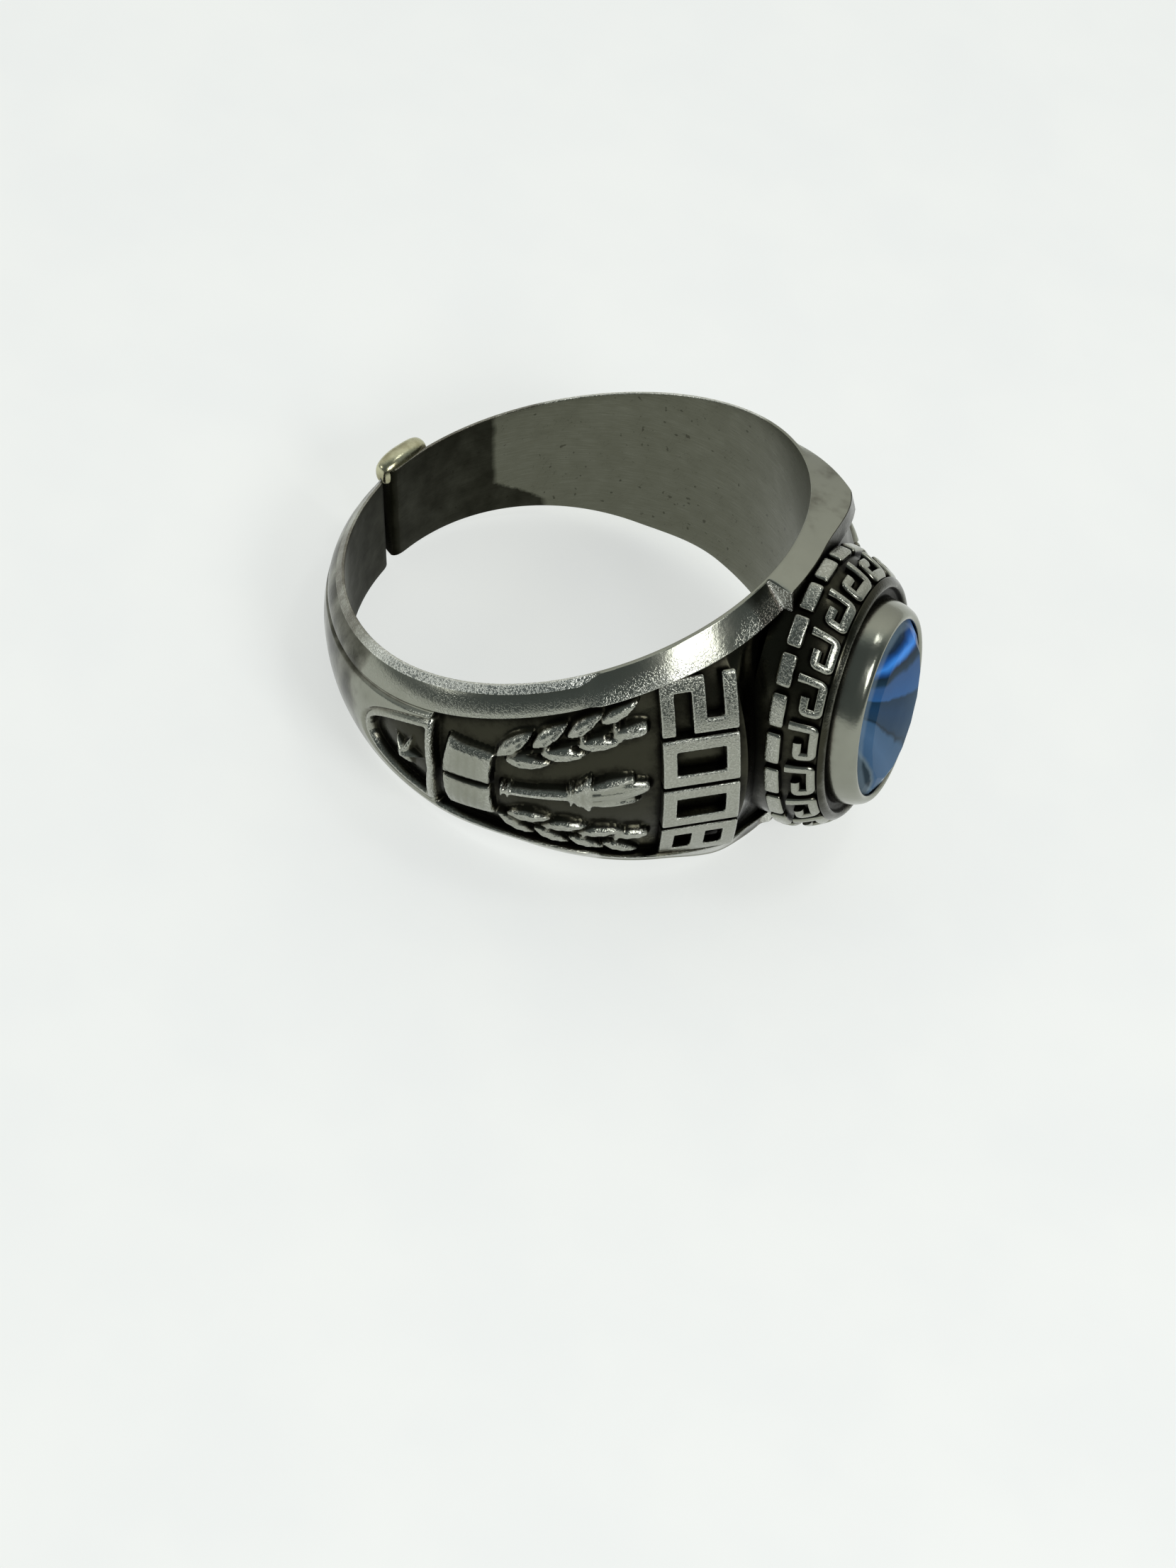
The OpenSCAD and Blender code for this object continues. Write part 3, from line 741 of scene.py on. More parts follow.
# Head: oval rings round the X axis, with rounded corners between named levels
def rounded_path(points, radius, steps):
    """Cut each inner corner of a path and bend it round."""
    points = np.array(points, float)
    out = [points[0]]
    for before, corner, after in zip(points, points[1:], points[2:]):
        reach_in = min(radius, 0.45 * np.linalg.norm(corner - before))
        reach_out = min(radius, 0.45 * np.linalg.norm(after - corner))
        p = corner + (before - corner) / np.linalg.norm(before - corner) * reach_in
        q = corner + (after - corner) / np.linalg.norm(after - corner) * reach_out
        for t in np.linspace(0, 1, steps):
            out.append((1 - t) ** 2 * p + 2 * t * (1 - t) * corner + t**2 * q)
    return np.array(out + [points[-1]])


def flank_y(t):
    """Half width of the border at a share of its height, a number or a wire."""
    return mix(FOOT_Y, RIM_Y, t**BORDER_LEAN)


def flank_z(t):
    """Half length of the border at a share of its height."""
    return mix(FOOT_Z, RIM_Z, t**BORDER_LEAN)


def head_levels():
    """Height, half width and half length of the head's rings, from its root over the collar into the seat."""
    def oval(x, half_y, half_z, wider=0.0):
        return x, half_y + wider, half_z + wider

    def flank(t, wider=0.0):
        return oval(foot_x + BORDER_H * t, flank_y(t), flank_z(t), wider)

    ground = [flank(t, -GROUND_D) for t in np.linspace(0, RIM_LOW - 0.03, 12)]
    rim = [flank(RIM_LOW), flank(1, -0.05), oval(rim_x, RIM_Y, RIM_Z, -RIM_T * 0.8),
           oval(moat_x, RIM_Y, RIM_Z, -RIM_T * 1.1)]
    collar = [oval(mix(moat_x, lip_x, t), STONE_Y, STONE_Z, collar_wall - COLLAR_FLARE * s)
              for t, s in COLLAR_SIDE]
    lip = [oval(lip_x - 0.01, STONE_Y, STONE_Z, LIP_T * 0.45),
           oval(lip_x - 0.05, STONE_Y, STONE_Z, 0.05 - LIP_OVER),
           oval(stone_edge_x + LIP_D * 0.4, STONE_Y, STONE_Z, -LIP_OVER)]
    seat = [oval(stone_edge_x + STONE_GAP, STONE_Y, STONE_Z, STONE_GAP),
            oval(stone_low_x - STONE_GAP, STONE_Y, STONE_Z, STONE_GAP),
            oval(stone_low_x - PAVILION_H - STONE_GAP * 4, STONE_Y * 0.09, STONE_Z * 0.09)]
    return [oval(root_r, FOOT_Y, FOOT_Z, -GROUND_D)] + ground + rim + collar + lip + seat


def head_finish(x, y, a):
    """Tarnish and worn brightness of the head: dark flank, groove and seat, a mottled rim with a worn corner.
    """
    rows = len(x)
    height = x + 0 * a
    on_border = height - foot_x
    flank = smooth((RIM_LOW * BORDER_H - 0.1 - on_border) / 0.15)
    moat = notch(height - moat_x, 0.14) * (y < RIM_Y - 0.1)
    seat = (np.arange(rows) > rows - SEAT_ROWS)[:, None] * smooth((lip_x - 0.1 - height) / 0.2)
    on_rim = smooth((on_border - RIM_LOW * BORDER_H + 0.2) / 0.1) * (y > RIM_Y - RIM_T * 1.3)
    mottled = on_rim * (0.52 + 0.2 * ripple(a * 0.1, height, seed=23, scale=1.1))
    patina = np.maximum(np.clip(0.85 * flank + 0.8 * moat + seat, 0, 1), mottled)
    wear = 0.2 * notch(height - rim_x, 0.1) * (y > RIM_Y - RIM_T)
    return patina, wear


def head(n=220):
    levels = rounded_path(head_levels(), HEAD_CORNER_R, 5)
    x, y, z = (levels[:, k][:, None] for k in range(3))
    a = np.linspace(0, 360, n, endpoint=False)[None, :]
    height = x + 0 * a
    uneven = 0.02 * ripple(a * 0.12, height, seed=21, scale=1.3) * smooth((lip_x - x) / 0.4)
    points = np.stack([height, (y + uneven) * cosd(a), (z + uneven) * sind(a)], -1)
    mesh = closed_mesh("head", points.reshape(-1, 3), tube_faces(len(levels), n), sharp_angle=55)
    patina, wear = head_finish(x, y, a)
    store(mesh, "patina", patina.ravel())
    store(mesh, "wear", wear.ravel())
    store(mesh, "wrap", np.stack([a * 0.09 + 0 * x, height, 0 * height], -1).reshape(-1, 3))
    return new_object("head", mesh)


# Node trees
class Wire:
    """An output socket that takes part in arithmetic, and adds Math nodes as it goes."""

    def __init__(self, tree, socket):
        self.tree, self.socket = tree, socket

    def math(self, operation, *terms):
        return self.tree.node("ShaderNodeMath", {"operation": operation}, dict(enumerate(terms)))[0]

    def __add__(self, other):
        return self.math("ADD", self, other)

    def __radd__(self, other):
        return self.math("ADD", other, self)

    def __sub__(self, other):
        return self.math("SUBTRACT", self, other)

    def __rsub__(self, other):
        return self.math("SUBTRACT", other, self)

    def __mul__(self, other):
        return self.math("MULTIPLY", self, other)

    def __rmul__(self, other):
        return self.math("MULTIPLY", other, self)

    def __truediv__(self, other):
        return self.math("DIVIDE", self, other)

    def __rtruediv__(self, other):
        return self.math("DIVIDE", other, self)

    def __pow__(self, other):
        return self.math("POWER", self, other)

    def __neg__(self):
        return self.math("MULTIPLY", self, -1.0)

    def cos(self):
        return self.math("COSINE", self)

    def sin(self):
        return self.math("SINE", self)

    def size(self):
        return self.math("ABSOLUTE", self)

    def most(self, other):
        return self.math("MAXIMUM", self, other)

    def limited(self):
        """Kept between 0 and 1."""
        return self.math("MINIMUM", self, 1.0).most(0.0)

    def turn_to(self, other):
        """Angle of the point at this height and the other's place, in radians."""
        return self.math("ARCTAN2", self, other)

    def step(self, low, high):
        """Smoothly from 0 at low to 1 at high."""
        return self.tree.node("ShaderNodeMapRange", {"interpolation_type": "SMOOTHSTEP"},
                              {"Value": self, "From Min": low, "From Max": high})["Result"]


class Outputs:
    """A node's output sockets, by name or number."""

    def __init__(self, tree, made):
        self.tree, self.made = tree, made

    def __getitem__(self, key):
        return Wire(self.tree, self.made.outputs[key])


class Tree:
    """A node tree that is filled through one method."""

    def __init__(self, group):
        self.group = group

    def node(self, kind, settings=None, sockets=None):
        made = self.group.nodes.new(kind)
        for key, value in (settings or {}).items():
            if key == "stops":
                ramp = made.color_ramp.elements
                while len(ramp) < len(value):
                    ramp.new(0.5)
                for element, (place, color) in zip(ramp, value):
                    element.position, element.color = place, (*color, 1)
            else:
                setattr(made, key, value)
        for key, value in (sockets or {}).items():
            if isinstance(value, Wire):
                self.group.links.new(value.socket, made.inputs[key])
            else:
                made.inputs[key].default_value = value
        return Outputs(self, made)

    def xyz(self, vector):
        parts = self.node("ShaderNodeSeparateXYZ", sockets={0: vector})
        return parts[0], parts[1], parts[2]

    def vector(self, x, y, z):
        return self.node("ShaderNodeCombineXYZ", sockets={0: x, 1: y, 2: z})[0]


# Geometry Nodes: a flat strip bent round the head's flank
def growing_tree(name, inputs):
    """A geometry tree with named size inputs, and the wires of its inputs."""
    group = bpy.data.node_groups.new(name, "GeometryNodeTree")
    group.interface.new_socket(name="Geometry", in_out="INPUT", socket_type="NodeSocketGeometry")
    for label, kind in inputs.items():
        group.interface.new_socket(name=label, in_out="INPUT", socket_type="NodeSocket" + kind)
    group.interface.new_socket(name="Geometry", in_out="OUTPUT", socket_type="NodeSocketGeometry")
    tree = Tree(group)
    return tree, tree.node("NodeGroupInput")


def row_of(tree, piece, row_sockets):
    """Copies of a piece along a straight row, as real geometry."""
    row = tree.node("GeometryNodeMeshLine", {"mode": "OFFSET"}, row_sockets)[0]
    placed = tree.node("GeometryNodeInstanceOnPoints", sockets={"Points": row, "Instance": piece})[0]
    return tree.node("GeometryNodeRealizeInstances", sockets={"Geometry": placed})[0]


def bent_round_flank(tree, strip):
    """Bend a strip round the head: X is the share of a turn, Y runs up the flank, Z out of the ground."""
    share, up, out = tree.xyz(tree.node("GeometryNodeInputPosition")[0])
    angle = share * (2 * math.pi)
    t = (up / BORDER_H).most(0.0)
    half_y = flank_y(t) - GROUND_D + out
    half_z = flank_z(t) - GROUND_D + out
    place = tree.vector(foot_x + up, half_y * angle.cos(), half_z * angle.sin())
    return tree.node("GeometryNodeSetPosition", sockets={"Geometry": strip, "Position": place})[0]


def finish_tree(tree, strip, material):
    shaded = tree.node("GeometryNodeSetShadeSmooth", sockets={"Geometry": strip})[0]
    real = tree.node("GeometryNodeRealizeInstances", sockets={"Geometry": shaded})[0]
    painted = tree.node("GeometryNodeSetMaterial", sockets={"Geometry": real, "Material": material})[0]
    tree.node("NodeGroupOutput", sockets={"Geometry": painted})
    return tree.group


def block_tree():
    """Soft-edged blocks in a row along the border's foot."""
    tree, entry = growing_tree("row of blocks", {
        "Count": "Int", "Block share": "Float", "Height": "Float", "Stand out": "Float",
        "Material": "Material"})
    pitch = 1.0 / entry["Count"]
    size = tree.vector(pitch * entry["Block share"], entry["Height"], entry["Stand out"] + 0.3)
    block = tree.node("GeometryNodeMeshCube", sockets={
        "Size": size, "Vertices X": 6, "Vertices Y": 4, "Vertices Z": 4})[0]
    soft = tree.node("GeometryNodeSubdivisionSurface", sockets={0: block, "Level": 2})[0]
    first = tree.vector(pitch * 0.5, entry["Height"] * 0.5, entry["Stand out"] * 0.5 - 0.15)
    strip = row_of(tree, soft, {
        "Count": entry["Count"], "Start Location": first, "Offset": tree.vector(pitch, 0.0, 0.0)})
    return finish_tree(tree, bent_round_flank(tree, strip), entry["Material"])


def fret_tree():
    """Keys swept along the seed mesh's path, all in millimetres until the row is bent round."""
    tree, entry = growing_tree("fret", {
        "Count": "Int", "Stroke": "Float", "Depth": "Float", "Turn length": "Float", "Material": "Material"})
    path = tree.node("GeometryNodeMeshToCurve", sockets={"Mesh": entry["Geometry"]})[0]
    bent = tree.node("GeometryNodeFilletCurve", {"mode": "POLY"}, {
        "Curve": path, "Radius": entry["Stroke"] * 0.3, "Count": 3})[0]
    fine = tree.node("GeometryNodeResampleCurve", {"mode": "LENGTH"}, {"Curve": bent, "Length": 0.07})[0]
    section = tree.node("GeometryNodeCurvePrimitiveQuadrilateral", sockets={
        "Width": entry["Stroke"], "Height": entry["Depth"] * 2})[0]
    soft_section = tree.node("GeometryNodeFilletCurve", {"mode": "POLY"}, {
        "Curve": section, "Radius": entry["Stroke"] * 0.36, "Count": 4, "Limit Radius": True})[0]
    key = tree.node("GeometryNodeCurveToMesh", sockets={
        "Curve": fine, "Profile Curve": soft_section, "Fill Caps": True})[0]
    pitch = entry["Turn length"] / entry["Count"]
    strip = row_of(tree, key, {"Count": entry["Count"], "Offset": tree.vector(pitch, 0.0, 0.0)})
    x, y, z = tree.xyz(tree.node("GeometryNodeInputPosition")[0])
    shares = tree.vector(x / entry["Turn length"], y, z)
    strip = tree.node("GeometryNodeSetPosition", sockets={"Geometry": strip, "Position": shares})[0]
    return finish_tree(tree, bent_round_flank(tree, strip), entry["Material"])


def grown(name, seed_mesh, group, inputs):
    """Run a geometry tree on a seed mesh and keep the result as a plain mesh in the ring's own frame."""
    piece = new_object(name, seed_mesh)
    grow = piece.modifiers.new("grow", "NODES")
    grow.node_group = group
    for item in group.interface.items_tree:
        if item.in_out == "INPUT" and item.name in inputs:
            grow[item.identifier] = inputs[item.name]
    piece.update_tag()
    bpy.context.view_layer.update()
    piece.data = applied(piece)
    return piece


def dress_flank_piece(piece, low, high, seed):
    """Lay a grown piece down and store how deep each of its points lies in the border."""
    points = mesh_points(piece.data)
    x = points[:, 0]
    t = np.clip((x - foot_x) / BORDER_H, 0, 1)
    half_y, half_z = flank_y(t), flank_z(t)
    a = np.degrees(np.arctan2(points[:, 2] / half_z, points[:, 1] / half_y))
    out = np.hypot(points[:, 1] / half_y, points[:, 2] / half_z)
    lift = (out - 1) * (half_y + half_z) / 2 + GROUND_D
    points[:, 1:] *= (1 + 0.006 * ripple(a * 0.12, x, seed, scale=0.45))[:, None]
    piece.data.vertices.foreach_set("co", lay(points).ravel())
    outward(piece.data)
    store(piece.data, "patina", 1 - smooth((lift - low) / (high - low)))
    store(piece.data, "wear", smooth((lift - high) / 0.08) * 0.35)
    store(piece.data, "wrap", np.stack([a * 0.1, x, 0 * a], -1))
    return piece


def blocks(material):
    seed_mesh = bpy.data.meshes.new("blocks_seed")
    piece = grown("blocks", seed_mesh, block_tree(), {
        "Count": BLOCK_N, "Block share": BLOCK_SHARE, "Height": BLOCK_H, "Stand out": GROUND_D,
        "Material": material})
    return dress_flank_piece(piece, low=0.05, high=0.24, seed=31)


def fret(material):
    key_low, key_high = BLOCK_H + 0.1 * BORDER_H, (RIM_LOW - 0.1) * BORDER_H
    mid_t = (key_low + key_high) / 2 / BORDER_H
    turn_l = math.pi * (flank_y(mid_t) + flank_z(mid_t))
    corners = [(x * turn_l / KEY_N, mix(key_low, key_high, y), 0) for x, y in KEY_PATH]
    seed_mesh = bpy.data.meshes.new("fret_seed")
    seed_mesh.from_pydata(corners, [(i, i + 1) for i in range(len(corners) - 1)], [])
    piece = grown("fret", seed_mesh, fret_tree(), {
        "Count": KEY_N, "Stroke": KEY_STROKE, "Depth": GROUND_D, "Turn length": turn_l, "Material": material})
    return dress_flank_piece(piece, low=0.05, high=0.26, seed=37)


# Repair: a lump of solder over the outer and upper edge at the cut
def boxy(share):
    return np.sign(share) * np.abs(share) ** 0.8


def solder(n=40, m=36):
    at = CUT_ANGLE - SOLDER_ANGLE
    t = np.linspace(-88, 88, n)[:, None]
    j = np.linspace(0, 360, m, endpoint=False)[None, :]
    w = np.sqrt(cosd(t))
    lumps = 1 + 0.05 * ripple(t * 0.03, j * 0.02, seed=41, scale=0.5)
    x = HOLE_R + BACK_WALL * 0.5 + 0.04 + SOLDER_T * 0.485 * w * boxy(cosd(j)) * lumps
    y = SOLDER_L / 2 * sind(t) + 0 * j
    z = half_w(at) - SOLDER_W * 0.28 + SOLDER_W * 0.58 * w * boxy(sind(j)) * lumps
    points = np.stack([x * cosd(at) - y * sind(at), x * sind(at) + y * cosd(at), z], -1)
    mesh = closed_mesh("solder", points.reshape(-1, 3), tube_faces(n, m), sharp_angle=60)
    return new_object("solder", mesh)


# Stone: a flat table, two rows of crown facets, a thin edge and a faceted point below
def facet_ring(x, share, turn=0.0):
    """Corners of the facets at one height; turned by half a facet in every other row."""
    a = 360 * (np.arange(FACET_N) + turn) / FACET_N
    return np.stack([x + 0 * a, STONE_Y * share * cosd(a), STONE_Z * share * sind(a)], -1)


def stone():
    n = FACET_N
    rings = [facet_ring(stone_low_x - PAVILION_H, 0.05),
             facet_ring(stone_low_x - PAVILION_H * 0.4, 0.62, turn=0.5),
             facet_ring(stone_low_x, 1),
             facet_ring(stone_edge_x, 1),
             facet_ring(stone_edge_x + CROWN_H * 0.6, mix(1, TABLE_SHARE, 0.5), turn=0.5),
             facet_ring(stone_edge_x + CROWN_H, TABLE_SHARE)]
    edge_level, levels_into_turned = 2, (0, 3)
    faces = []
    for level in range(len(rings) - 1):
        for i in range(n):
            k = (i + 1) % n
            a, b, c, d = [level * n + p for p in (i, k, n + k, n + i)]
            if level == edge_level:
                faces.append((a, b, c, d))
            elif level in levels_into_turned:
                faces += [(a, b, d), (b, c, d)]
            else:
                faces += [(a, b, c), (a, c, d)]
    faces += [tuple(range(n)), tuple(range((len(rings) - 1) * n, len(rings) * n))]
    points = np.concatenate(rings)
    mesh = bpy.data.meshes.new("stone_cut")
    mesh.from_pydata(lay(points).tolist(), [], faces)
    outward(mesh)
    x, y, z = points.T
    store(mesh, "cut", np.stack([y / STONE_Y, z / STONE_Z, x - stone_edge_x], -1))
    return new_object("stone_cut", mesh)


# Materials
def new_material(name):
    made = bpy.data.materials.new(name)
    made.use_nodes = True
    made.node_tree.nodes.clear()
    return made, Tree(made.node_tree)


def finish_material(tree, sockets):
    shader = tree.node("ShaderNodeBsdfPrincipled", sockets=sockets)[0]
    tree.node("ShaderNodeOutputMaterial", sockets={"Surface": shader})


def mix_color(tree, share, first, second):
    return tree.node("ShaderNodeMix", {"data_type": "RGBA"}, {0: share, 6: first, 7: second})[2]


def noise(tree, vector, scale, detail=3.0, rough=0.55):
    return tree.node("ShaderNodeTexNoise", sockets={
        "Vector": vector, "Scale": scale, "Detail": detail, "Roughness": rough})[0]


POLISHED = (0.275, 0.282, 0.235, 1)
# Colour of worn metal, also used for a painted highlight
WORN_AND_SHEEN = (0.80, 0.81, 0.75, 1)
GREY_FILM = (0.19, 0.193, 0.155, 1)
INNER_GREY = (0.130, 0.132, 0.098, 1)
RED_BROWN = (0.060, 0.034, 0.022, 1)
OLIVE_GREY = (0.030, 0.029, 0.019, 1)
BLACKENED_AND_SHADE = (0.007, 0.0065, 0.0045, 1)
OLIVE_TARNISH = (0.016, 0.016, 0.009, 1)
PALE_SOLDER, DULL_SOLDER = (0.56, 0.55, 0.38, 1), (0.30, 0.28, 0.17, 1)
# Painted light in the stone: a bright stripe, a grey sheen, lighter crown facets and glints
PAINTED_STREAK_BLUE, PAINTED_SHEEN_BLUE = (0.05, 0.24, 0.68, 1), (0.10, 0.145, 0.19, 1)
PAINTED_BEVEL_LIGHT, GLINT = (0.16, 0.22, 0.27, 1), (0.72, 0.88, 0.98, 1)


def white_metal():
    """Antiqued metal: tarnish in the hollows, bright worn edges, and a brushed, stained inner wall, with
    painted shade in corners and on parts of the band, and a painted highlight by the near crease.
    """
    made, tree = new_material("antiqued white metal")
    around = tree.node("ShaderNodeTexCoord")["Object"]
    read = {name: tree.node("ShaderNodeAttribute", {"attribute_name": name})
            for name in ("patina", "wear", "wrap")}
    patina, wear = read["patina"]["Fac"], read["wear"]["Fac"]
    along, across, inner = tree.xyz(read["wrap"]["Vector"])
    # Painted shade: occlusion, darkening the colour in corners and at the joins between pieces
    corner = 1 - tree.node("ShaderNodeAmbientOcclusion", {"samples": 8}, {"Distance": 0.0007})["AO"]
    broad = noise(tree, around, 900.0, 4.0)
    cloud = broad - 0.5
    fine = noise(tree, around, 5200.0, 3.0)
    brushed = noise(tree, tree.vector(along * 0.5, across * 14.0, inner), 2.2, 4.0, 0.6)

    # Tarnish in the hollows, with painted shade from occlusion in the corners and where pieces meet
    grey = (patina * 1.25 + corner * 0.35 - wear * 0.6 + cloud * 0.7).step(0.15, 0.66)
    dark = (patina * 0.55 + corner - wear * 0.6 + cloud * 0.6 + (fine - 0.5) * 0.3).step(0.42, 0.98)
    reddish = (patina * 0.9 + corner * 0.6 + cloud * 0.5).step(0.12, 0.42) * (1 - grey)

    # The stain round the cut, which reaches further along the lower edge
    angle = along / HOLE_R * (180 / math.pi) + cloud * 2.5
    low_edge = ((-across - 1.1 + (fine - 0.5) * 0.3) * 0.7).limited()
    stain = ((angle - (136.5 - low_edge * 13.0)) * 0.6).limited() + (1 - angle.step(-168.0, -140.0))
    tarnish = inner * stain.limited()

    # Scuffs and pits on the inner wall
    slanted = tree.vector(along * 1.6 + across * 1.1, across * 0.35 - along * 0.12, inner)
    cross = noise(tree, slanted, 2.6, 2.0, 0.4)
    scuff = (1 - (cross - 0.5).size().step(0.0, 0.007)) * (broad - 0.1).step(0.36, 0.5) * inner
    pits = (noise(tree, around, 3300.0, 1.0) - 0.1).step(0.6, 0.66) * inner

    film = (broad - 0.2).step(0.1, 0.65) * 0.3
    glitter = noise(tree, around, 11000.0, 2.0).step(0.46, 0.6) * wear
    brushed_wall = inner * (0.95 + (brushed - 0.5) * 0.7 + cloud * 0.3)
    # The worn layer includes a painted highlight; the grey, reddish and black layers include painted shade
    layers = [(film, GREY_FILM), (wear * 0.45 + glitter * 0.6, WORN_AND_SHEEN), (brushed_wall, INNER_GREY),
              (scuff * 0.55 + pits * 0.6, OLIVE_GREY), (reddish * 0.75, RED_BROWN), (grey * 0.97, OLIVE_GREY),
              (dark, BLACKENED_AND_SHADE), (tarnish * (0.85 + cloud * 0.5), OLIVE_TARNISH)]
    base = POLISHED
    for share, color in layers:
        base = mix_color(tree, share.limited(), base, color)
    rough = 0.19 + cloud * 0.12 + dark * 0.3 + inner * 0.12 + (brushed - 0.5) * inner * 0.2 + tarnish * 0.32
    grain = tree.node("ShaderNodeBump", sockets={
        "Strength": 0.35, "Distance": 0.00002, "Height": fine * 0.6 + broad * 0.8})[0]
    scratch = tree.node("ShaderNodeBump", sockets={
        "Strength": 0.35, "Distance": 0.00001, "Height": brushed * inner + glitter * 9.0, "Normal": grain})[0]
    finish_material(tree, {
        "Base Color": base, "Metallic": 1.0, "Roughness": rough.limited(), "Normal": scratch})
    return made


def solder_metal():
    made, tree = new_material("pale solder")
    around = tree.node("ShaderNodeTexCoord")["Object"]
    broad = noise(tree, around, 1100.0, 4.0)
    fine = noise(tree, around, 6000.0, 3.0)
    base = mix_color(tree, broad.step(0.35, 0.7), PALE_SOLDER, DULL_SOLDER)
    bump = tree.node("ShaderNodeBump", sockets={
        "Strength": 0.4, "Distance": 0.00004, "Height": broad + fine * 0.3})[0]
    finish_material(tree, {
        "Base Color": base, "Metallic": 1.0, "Roughness": 0.26 + (fine - 0.5) * 0.2, "Normal": bump})
    return made


def blue_stone():
    """Deep blue, with painted reflections of the point's facets through the table as a fan of light and dark
    bands, a painted stripe, sheen, lighter crown facets and glints, and a painted glow.
    """
    made, tree = new_material("blue stone")
    y, z, rise = tree.xyz(tree.node("ShaderNodeAttribute", {"attribute_name": "cut"})["Vector"])
    cloud = noise(tree, tree.node("ShaderNodeTexCoord")["Object"], 700.0, 2.0) - 0.5
    from_y, from_z = y - FAN_AT[0], z - FAN_AT[1]
    turn = (-from_z).turn_to(from_y) * (2 / math.pi) + cloud * 0.05
    base = tree.node("ShaderNodeValToRGB", {"stops": PAINTED_FAN_BANDS}, {0: turn})[0]
    # Painted light: a bright blue stripe, a grey sheen towards one side, lighter crown facets and glints at
    # fixed places
    painted_streak = 1 - ((turn - 0.115).size() + (y - 0.12).size() * 0.03).step(0.0, 0.05)
    painted_sheen = ((y * 0.5 - z * 0.6) + cloud * 0.5).step(-0.1, 1.1)
    bevel = rise.step(0.03, 0.08) * (1 - rise.step(0.26, 0.36))
    side = z.turn_to(y)
    glint = (1 - (side + 0.46).size().step(0.05, 0.13)) + (1 - (side + 1.62).size().step(0.08, 0.2))
    for share, color in ((painted_streak.limited() * 0.85, PAINTED_STREAK_BLUE), (painted_sheen * 0.4, PAINTED_SHEEN_BLUE),
                         ((bevel * 0.35).limited(), PAINTED_BEVEL_LIGHT), ((bevel * glint).limited(), GLINT)):
        base = mix_color(tree, share, base, color)
    # Painted glow: the stone's colour also shines by itself
    finish_material(tree, {
        "Base Color": base, "Metallic": 0.0, "Roughness": 0.05, "IOR": 1.45, "Specular IOR Level": 0.005,
        "Emission Color": base, "Emission Strength": 0.35})
    return made


def paper():
    """White paper, lit evenly from within so that it stays white round the ring's shadow."""
    made, tree = new_material("pale paper")
    around = tree.node("ShaderNodeTexCoord")["Object"]
    cloud = noise(tree, around, 120.0, 3.0).step(0.3, 0.7)
    fibre = noise(tree, around, 900.0, 4.0, 0.6)
    base = mix_color(tree, cloud, (0.38, 0.388, 0.382, 1), (0.40, 0.405, 0.398, 1))
    glow = mix_color(tree, cloud, (0.975, 1.0, 0.98, 1), (0.99, 1.015, 0.985, 1))
    bump = tree.node("ShaderNodeBump", sockets={"Strength": 0.12, "Distance": 0.00008, "Height": fibre})[0]
    finish_material(tree, {
        "Base Color": base, "Roughness": 0.8, "Normal": bump,
        "Emission Color": glow, "Emission Strength": 0.60})
    return made


# Camera at the photo's angle: millimetres, degrees and pixels of the photo
PHOTO_W, FOCAL_PX = 1659, 6500
CAMERA_AT = (26.385, -129.635, 153.244)
CAMERA_TURN = (38.1732, -12.1304, 26.167)
SENSOR_W = 36

# Lamps: name, place, aim and side in millimetres, and power
LAMPS = [("lamp", (181, -109, 184), (6, -6, 6), 100, 0.26),
         ("low lamp", (-235, -136, 127), (-6, -8, 8), 60, 0.06),
         ("top lamp", (53, 63, 288), (0, -8, 4), 50, 0.05)]
# The direction of the bright wall, and the tones of the dim room and of the wall
BRIGHT_SIDE = (-0.34, 0.94)
ROOM_TONE, WALL_TONE = (0.90, 1.03, 1.05, 1), (1.0, 1.01, 0.96, 1)
FLOOR_HALF, FLOOR_DROP = 0.6, 0.00002


def add_camera():
    data = bpy.data.cameras.new("camera")
    data.sensor_fit, data.sensor_width = "HORIZONTAL", SENSOR_W
    data.lens = SENSOR_W * FOCAL_PX / PHOTO_W
    data.clip_start = 0.01
    camera = bpy.data.objects.new("camera", data)
    camera.location = Vector(CAMERA_AT) * MM
    camera.rotation_euler = Euler([math.radians(t) for t in CAMERA_TURN])
    bpy.context.scene.collection.objects.link(camera)
    bpy.context.scene.camera = camera


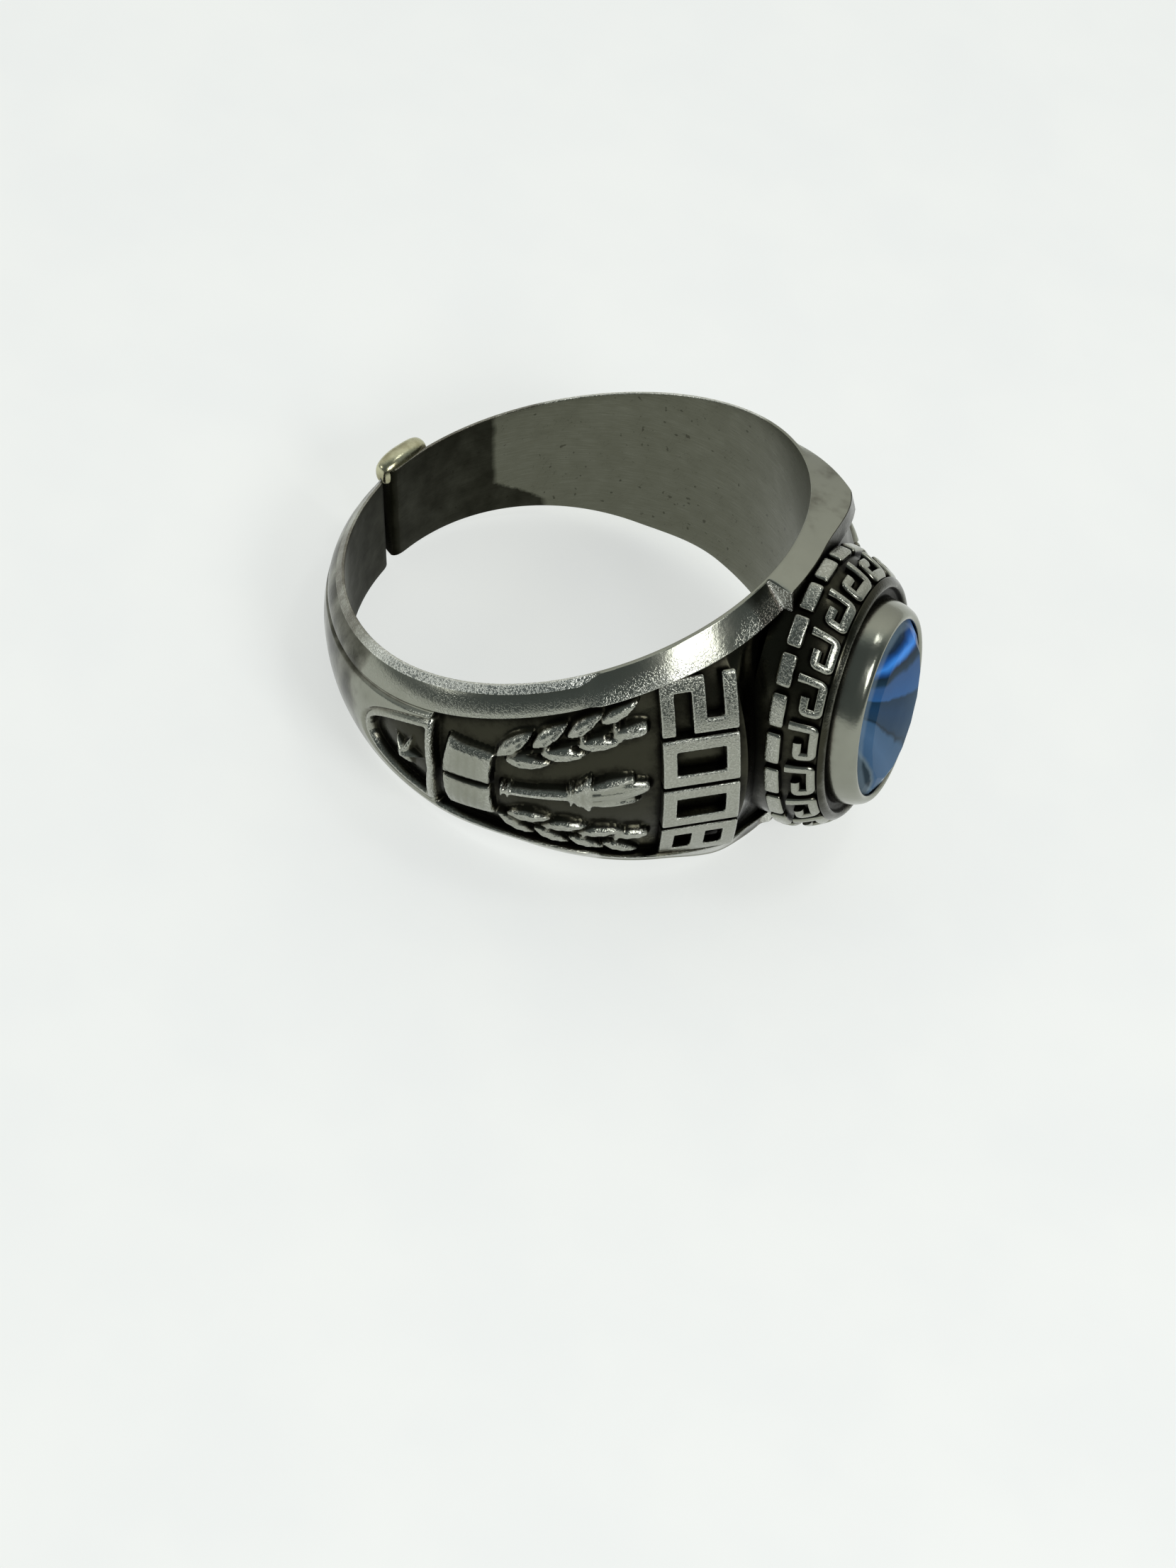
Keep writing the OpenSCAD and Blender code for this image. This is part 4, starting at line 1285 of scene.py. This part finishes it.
def add_floor(material):
    half = FLOOR_HALF
    mesh = bpy.data.meshes.new("floor")
    square = [(-half, -half, 0), (half, -half, 0), (half, half, 0), (-half, half, 0)]
    mesh.from_pydata(square, [], [(0, 1, 2, 3)])
    floor = new_object("floor", mesh)
    mesh.materials.append(material)
    floor.location.z = -FLOOR_DROP


def add_lamp(name, at, aim, side, power):
    data = bpy.data.lights.new(name, "AREA")
    data.shape, data.size, data.size_y = "RECTANGLE", side * MM, side * MM
    data.energy = power
    lamp = bpy.data.objects.new(name, data)
    lamp.location = Vector(at) * MM
    lamp.rotation_euler = (Vector(aim) - Vector(at)).to_track_quat("-Z", "Y").to_euler()
    bpy.context.scene.collection.objects.link(lamp)


def add_light_set():
    """A bright wall behind and to the left of the ring, a darker room elsewhere, and three compact lamps."""
    bpy.context.scene.view_settings.view_transform = "Standard"
    world = bpy.data.worlds.new("studio")
    bpy.context.scene.world = world
    world.use_nodes = True
    world.node_tree.nodes.clear()
    tree = Tree(world.node_tree)
    x, y, z = tree.xyz(tree.node("ShaderNodeTexCoord")["Generated"])
    wall = (x * BRIGHT_SIDE[0] + y * BRIGHT_SIDE[1]).step(-0.1, 0.5)
    level = 0.15 + wall * (0.42 + z * 0.38) + (-z).step(-0.02, 0.2) * 0.6
    tone = mix_color(tree, wall, ROOM_TONE, WALL_TONE)
    light = tree.node("ShaderNodeBackground", sockets={"Color": tone, "Strength": level})
    tree.node("ShaderNodeOutputWorld", sockets={"Surface": light[0]})
    for lamp in LAMPS:
        add_lamp(*lamp)


def main():
    add_camera()
    metal, pale, blue = white_metal(), solder_metal(), blue_stone()
    pieces = [(band("band_near", NEAR), metal), (band("band_far", FAR), metal),
              (numbers("numbers_near", NEAR), metal), (numbers("numbers_far", FAR), metal),
              (head(), metal), (blocks(metal), metal), (fret(metal), metal), (solder(), pale)]
    for piece, material in pieces:
        piece.data.materials.clear()
        piece.data.materials.append(material)
        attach(piece, "root")
        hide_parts("ring_body")
    gem = stone()
    gem.data.materials.append(blue)
    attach(gem, "root")
    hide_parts("stone")
    add_floor(paper())
    add_light_set()


main()


def corners(box):
    return [[float(c) for c in corner] for corner in box]
